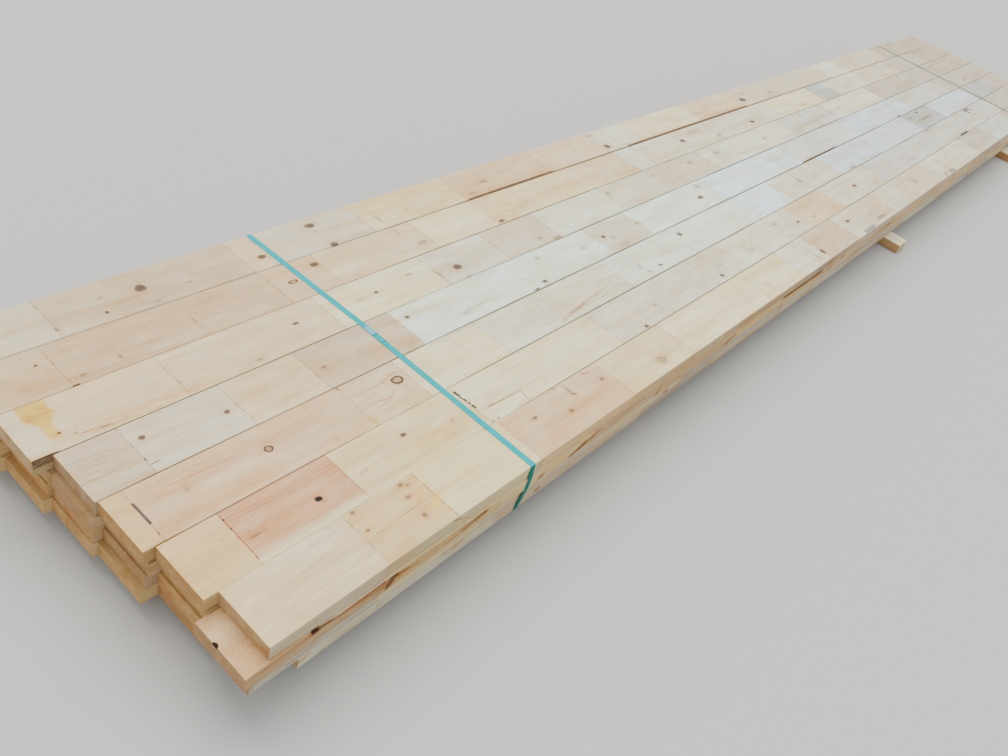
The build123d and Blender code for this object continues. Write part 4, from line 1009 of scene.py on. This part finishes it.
        # painted shade: the lowest part of the bottom board's right side is darkened towards the floor, from about 0.55
        # m on
        foot_shade = w.mul(w.mul(w.smooth(z, 0.004, 0.026, 1.0, 0.0), w.smooth(x, 0.55, 1.00)), masks[1])
        extra.append((w.mul(foot_shade, 0.35), (0.62, 0.60, 0.56, 1.0), "tint"))
    if node in SIDE_STROKES:
        swob = w.mul(w.sub(w.noise(w.join(w.mul(x, 60.0), w.mul(z, 160.0), 7.0), 1.0, 2.0, 0.6), 0.5), 1.5)
        for line, colour, strength, mode in SIDE_STROKES[node]:
            if mode == "paint" and max(line[4:]) > 0.002:
                # stained wood round the dark core
                wide = line[:4] + (line[4] * 2.3 + 0.001, line[5] * 2.3 + 0.001)
                extra.append((w.mul(w.mul(stroke(w, x, z, swob, wide, 0.45), masks[1]), 0.8), (0.83, 0.68, 0.53, 1.0), "tint"))
            extra.append((w.mul(w.mul(stroke(w, x, z, swob, line), masks[1]), strength), colour + (1.0,), mode))
    if side_dark:
        sn = w.noise(w.join(w.mul(x, 2.4), w.mad(z, 150.0, seed), w.mul(y, 60.0)), 1.0, 4.0, 0.62)
        line = w.mul(w.mul(w.smooth(sn, 0.56, 0.66), masks[1]), side_dark)
        extra.append((line, (0.62, 0.42, 0.26, 1.0), "tint"))
        sn2 = w.noise(w.join(w.mul(x, 1.2), w.mad(z, 55.0, seed + 3.0), w.mul(y, 30.0)), 1.0, 2.0, 0.5)
        extra.append((w.mul(w.mul(w.smooth(sn2, 0.50, 0.62), masks[1]), side_dark * 0.8), (0.86, 0.74, 0.60, 1.0), "tint"))
    extra.finish()
    o = NODES[node]
    o.data.materials.clear()
    o.data.materials.append(m)


MIXED = ["cream", "tan", "pink", "yellow", "pinkpale", "peach", "cream", "tan"]
# painted shade: the lower boards' sides are tinted darker and greyer than their tops
SIDE = {"second": (0.90, 0.84, 0.75, 1.0), "third": (0.78, 0.72, 0.675, 1.0), "bottom": (0.81, 0.755, 0.71, 1.0)}
ENDS = {"second": (0.72, 0.56, 0.435, 1.0), "third": END_LOWER, "bottom": END_LOWER}
for li, layer in enumerate(("second", "third", "bottom")):
    for k in range(7):
        node = f"{layer}_board_{k + 1}"
        tones = MIXED[(k + li) % 4:] + MIXED[:(k + li) % 4]
        if li and k == 0:
            tones = ["pinkgrey", "whitewarm", "greytan", "white", "pale", "grey"]
        lower_board(node, right_edge(layer, k), LAYERS[layer], 3.1 + 4.9 * k + 37.0 * li,
                    SIDE[layer], ENDS[layer], tones, side_dark={"second": 0.8, "third": 0.35, "bottom": 0.25}[layer])


# ------------------------------------------------------------------ bearers
def bearer_material(node, seed, tint):
    """Older boards laid across: the grain runs along y."""
    m, w = new_material(f"wood_{node}")
    lo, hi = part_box(node)
    tc = w.new("ShaderNodeTexCoord")
    x, y, z = w.split(tc.outputs["Object"])
    along = w.sub(y, lo.y)
    across = w.sub(x, lo.x)
    n = w.new("ShaderNodeNewGeometry")
    nx, ny, nz = w.split(n.outputs["True Normal"])
    end = w.smooth(w.math("ABSOLUTE", ny), 0.6, 0.9)
    side = w.smooth(w.math("ABSOLUTE", nx), 0.55, 0.85)
    top = w.smooth(nz, 0.55, 0.85)
    wood = w.group("wood", U=along, X=along, Y=across, Z=z, Id=seed, Seed=seed * 3.0, Bend=0.0)
    blotch = w.noise(w.join(w.mul(along, 6.0), w.mul(across, 20.0), w.mad(z, 20.0, seed)), 1.0, 3.0, 0.6)
    base = w.mix(w.smooth(blotch, 0.35, 0.65), (0.95, 0.87, 0.62, 1.0), (0.90, 0.80, 0.54, 1.0))
    # the sides take the painted shade passed in as tint
    extra = Coat(w, along, across, z, seed, base, 0.55, (top, side, end), wood, (0.0, 0.0, 0.0), 0.0, 0.0,
                 tint, END_LOWER)
    extra.append((w.mul(w.smooth(z, 0.0, 0.014, 1.0, 0.0), 0.6), (0.72, 0.66, 0.60, 1.0), "tint"))
    extra.finish()
    o = NODES[node]
    o.data.materials.clear()
    o.data.materials.append(m)


# painted shade: the last value darkens the bearers' sides to a shaded brown
bearer_material("near_bearer", 2.0, (0.53, 0.35, 0.23, 1.0))
bearer_material("middle_bearer", 5.0, (0.53, 0.35, 0.23, 1.0))
bearer_material("far_bearer", 8.0, (0.53, 0.36, 0.25, 1.0))


# ------------------------------------------------------------------- straps
def strap_material(node, name, teal, weld, dust, side):
    """Embossed plastic band.  weld: (from y, to y, first mark, second mark), the marks being painted shadow lines.
    side: painted shade on the band below the top.
    """
    m, w = new_material(name)
    tc = w.new("ShaderNodeTexCoord")
    x, y, z = w.split(tc.outputs["Object"])
    y = w.add(y, SHIFT_Y)
    run = w.sub(y, z)
    kx, ky = 2 * math.pi / 0.0021, 2 * math.pi / 0.0021
    a = w.math("SINE", w.mul(w.add(x, run), kx * 0.7071))
    b = w.math("SINE", w.mul(w.sub(x, run), ky * 0.7071))
    emboss = w.mul(a, b)
    wear = w.noise(w.join(w.mul(x, 160.0), w.mul(y, 22.0), w.mul(z, 22.0)), 1.0, 3.0, 0.6)
    col = w.mix(w.smooth(wear, 0.35, 0.72), teal, w.mix(1.0, teal, (1.6, 1.14, 1.14, 1.0), "MULTIPLY"))
    # painted shade: the band is darker where it runs down from the top
    col = w.mix(w.smooth(z, 0.1885, 0.1905, 1.0, 0.0), col, w.mix(1.0, col, side, "MULTIPLY"))
    col = w.mix(w.smooth(emboss, 0.2, 0.9, 0.0, 0.30), col, w.mix(1.0, col, (0.62, 0.80, 0.82, 1.0), "MULTIPLY"))
    col = w.mix(w.mul(w.smooth(wear, 0.45, 0.75), dust), col, linear((150, 158, 146)))
    # welded overlap: a pale blue patch, partly the flattened weld's own look and partly a painted reflection of the sky
    y0, y1, m1, m2 = weld
    top = w.smooth(z, 0.1908, 0.1911)
    patch = w.mul(w.mul(w.smooth(y, y0, y0 + 0.003), w.smooth(y, y1 - 0.003, y1, 1.0, 0.0)), top)
    wn = w.noise(w.join(w.mul(x, 300.0), w.mul(y, 120.0), 0.0), 1.0, 2.0, 0.6)
    col = w.mix(w.mul(patch, w.smooth(wn, 0.30, 0.70, 0.45, 0.95)), col, (0.235, 0.46, 0.62, 1.0))
    # painted shadow: dark lines at the two marks, along the edges of the overlapping end
    mark_shadow_1 = w.smooth(w.math("ABSOLUTE", w.sub(y, m1)), 0.0010, 0.0022, 1.0, 0.0)
    mark_shadow_2 = w.smooth(w.math("ABSOLUTE", w.sub(y, m2)), 0.0010, 0.0022, 1.0, 0.0)
    lines = w.mul(w.top(mark_shadow_1, w.mul(mark_shadow_2, w.smooth(wn, 0.35, 0.6))), top)
    col = w.mix(w.mul(lines, 0.8), col, (0.01, 0.10, 0.12, 1.0))
    bsdf = w.new("ShaderNodeBsdfPrincipled")
    w.feed(bsdf.inputs["Base Color"], col)
    w.feed(bsdf.inputs["Roughness"], w.mad(wear, 0.20, w.mad(patch, -0.08, 0.38)))
    bsdf.inputs["Specular IOR Level"].default_value = 0.05
    bump = w.new("ShaderNodeBump")
    bump.inputs["Strength"].default_value = 0.6
    bump.inputs["Distance"].default_value = 1.0
    w.feed(bump.inputs["Height"], w.mul(w.mul(emboss, w.mad(patch, -0.8, 1.0)), 0.00009))
    w.feed(bsdf.inputs["Normal"], bump.outputs[0])
    out = w.new("ShaderNodeOutputMaterial")
    w.feed(out.inputs[0], bsdf.outputs[0])
    o = NODES[node]
    o.data.materials.clear()
    o.data.materials.append(m)


strap_material("near_strap", "strap_near", (0.0, 0.362, 0.388, 1.0), (0.514, 0.548, 0.512, 0.481), 0.0, (2.4, 0.46, 0.33, 1.0))
strap_material("far_strap", "strap_far", (0.090, 0.150, 0.112, 1.0), (0.630, 0.660, 0.665, 0.640), 0.60, (0.80, 0.86, 0.82, 1.0))


# -------------------------------------------------------------- floor, light
def plane(name, size, centre):
    me = bpy.data.meshes.new(name)
    h = size / 2
    me.from_pydata([(-h, -h, 0), (h, -h, 0), (h, h, 0), (-h, h, 0)], [], [(0, 1, 2, 3)])
    o = bpy.data.objects.new(name, me)
    o.location = centre
    bpy.context.scene.collection.objects.link(o)
    return o


floor = plane("floor", 120.0, (0, 0, 0))
fm, w = new_material("floor_pale")
bsdf = w.new("ShaderNodeBsdfPrincipled")
bsdf.inputs["Base Color"].default_value = (0.52, 0.505, 0.475, 1.0)
bsdf.inputs["Roughness"].default_value = 0.9
bsdf.inputs["Specular IOR Level"].default_value = 0.1
out = w.new("ShaderNodeOutputMaterial")
w.feed(out.inputs[0], bsdf.outputs[0])
floor.data.materials.append(fm)

world = bpy.data.worlds.new("soft_sky")
bpy.context.scene.world = world
world.use_nodes = True
bg = world.node_tree.nodes["Background"]
bg.inputs[0].default_value = (0.93, 0.965, 1.01, 1.0)
bg.inputs[1].default_value = 1.115

sun = bpy.data.lights.new("soft_key", "SUN")
sun.energy = 3.3
sun.angle = math.radians(55)
sun.color = (1.0, 0.985, 0.96)
sun_o = bpy.data.objects.new("soft_key", sun)
sun_o.rotation_euler = (math.radians(-24), math.radians(16), 0.0)
bpy.context.scene.collection.objects.link(sun_o)

# ------------------------------------------------------------------- camera
cam = bpy.data.cameras.new("view")
cam.sensor_width = 36.0
cam.sensor_fit = "HORIZONTAL"
cam.lens = 31.1745
cam.clip_start = 0.05
cam.clip_end = 200.0
cam_o = bpy.data.objects.new("view", cam)
cam_o.location = (-3.59667, -1.07134, 1.51001)
cam_o.rotation_euler = (0.86353038, -0.25206412, -0.84974306)
bpy.context.scene.collection.objects.link(cam_o)
bpy.context.scene.camera = cam_o
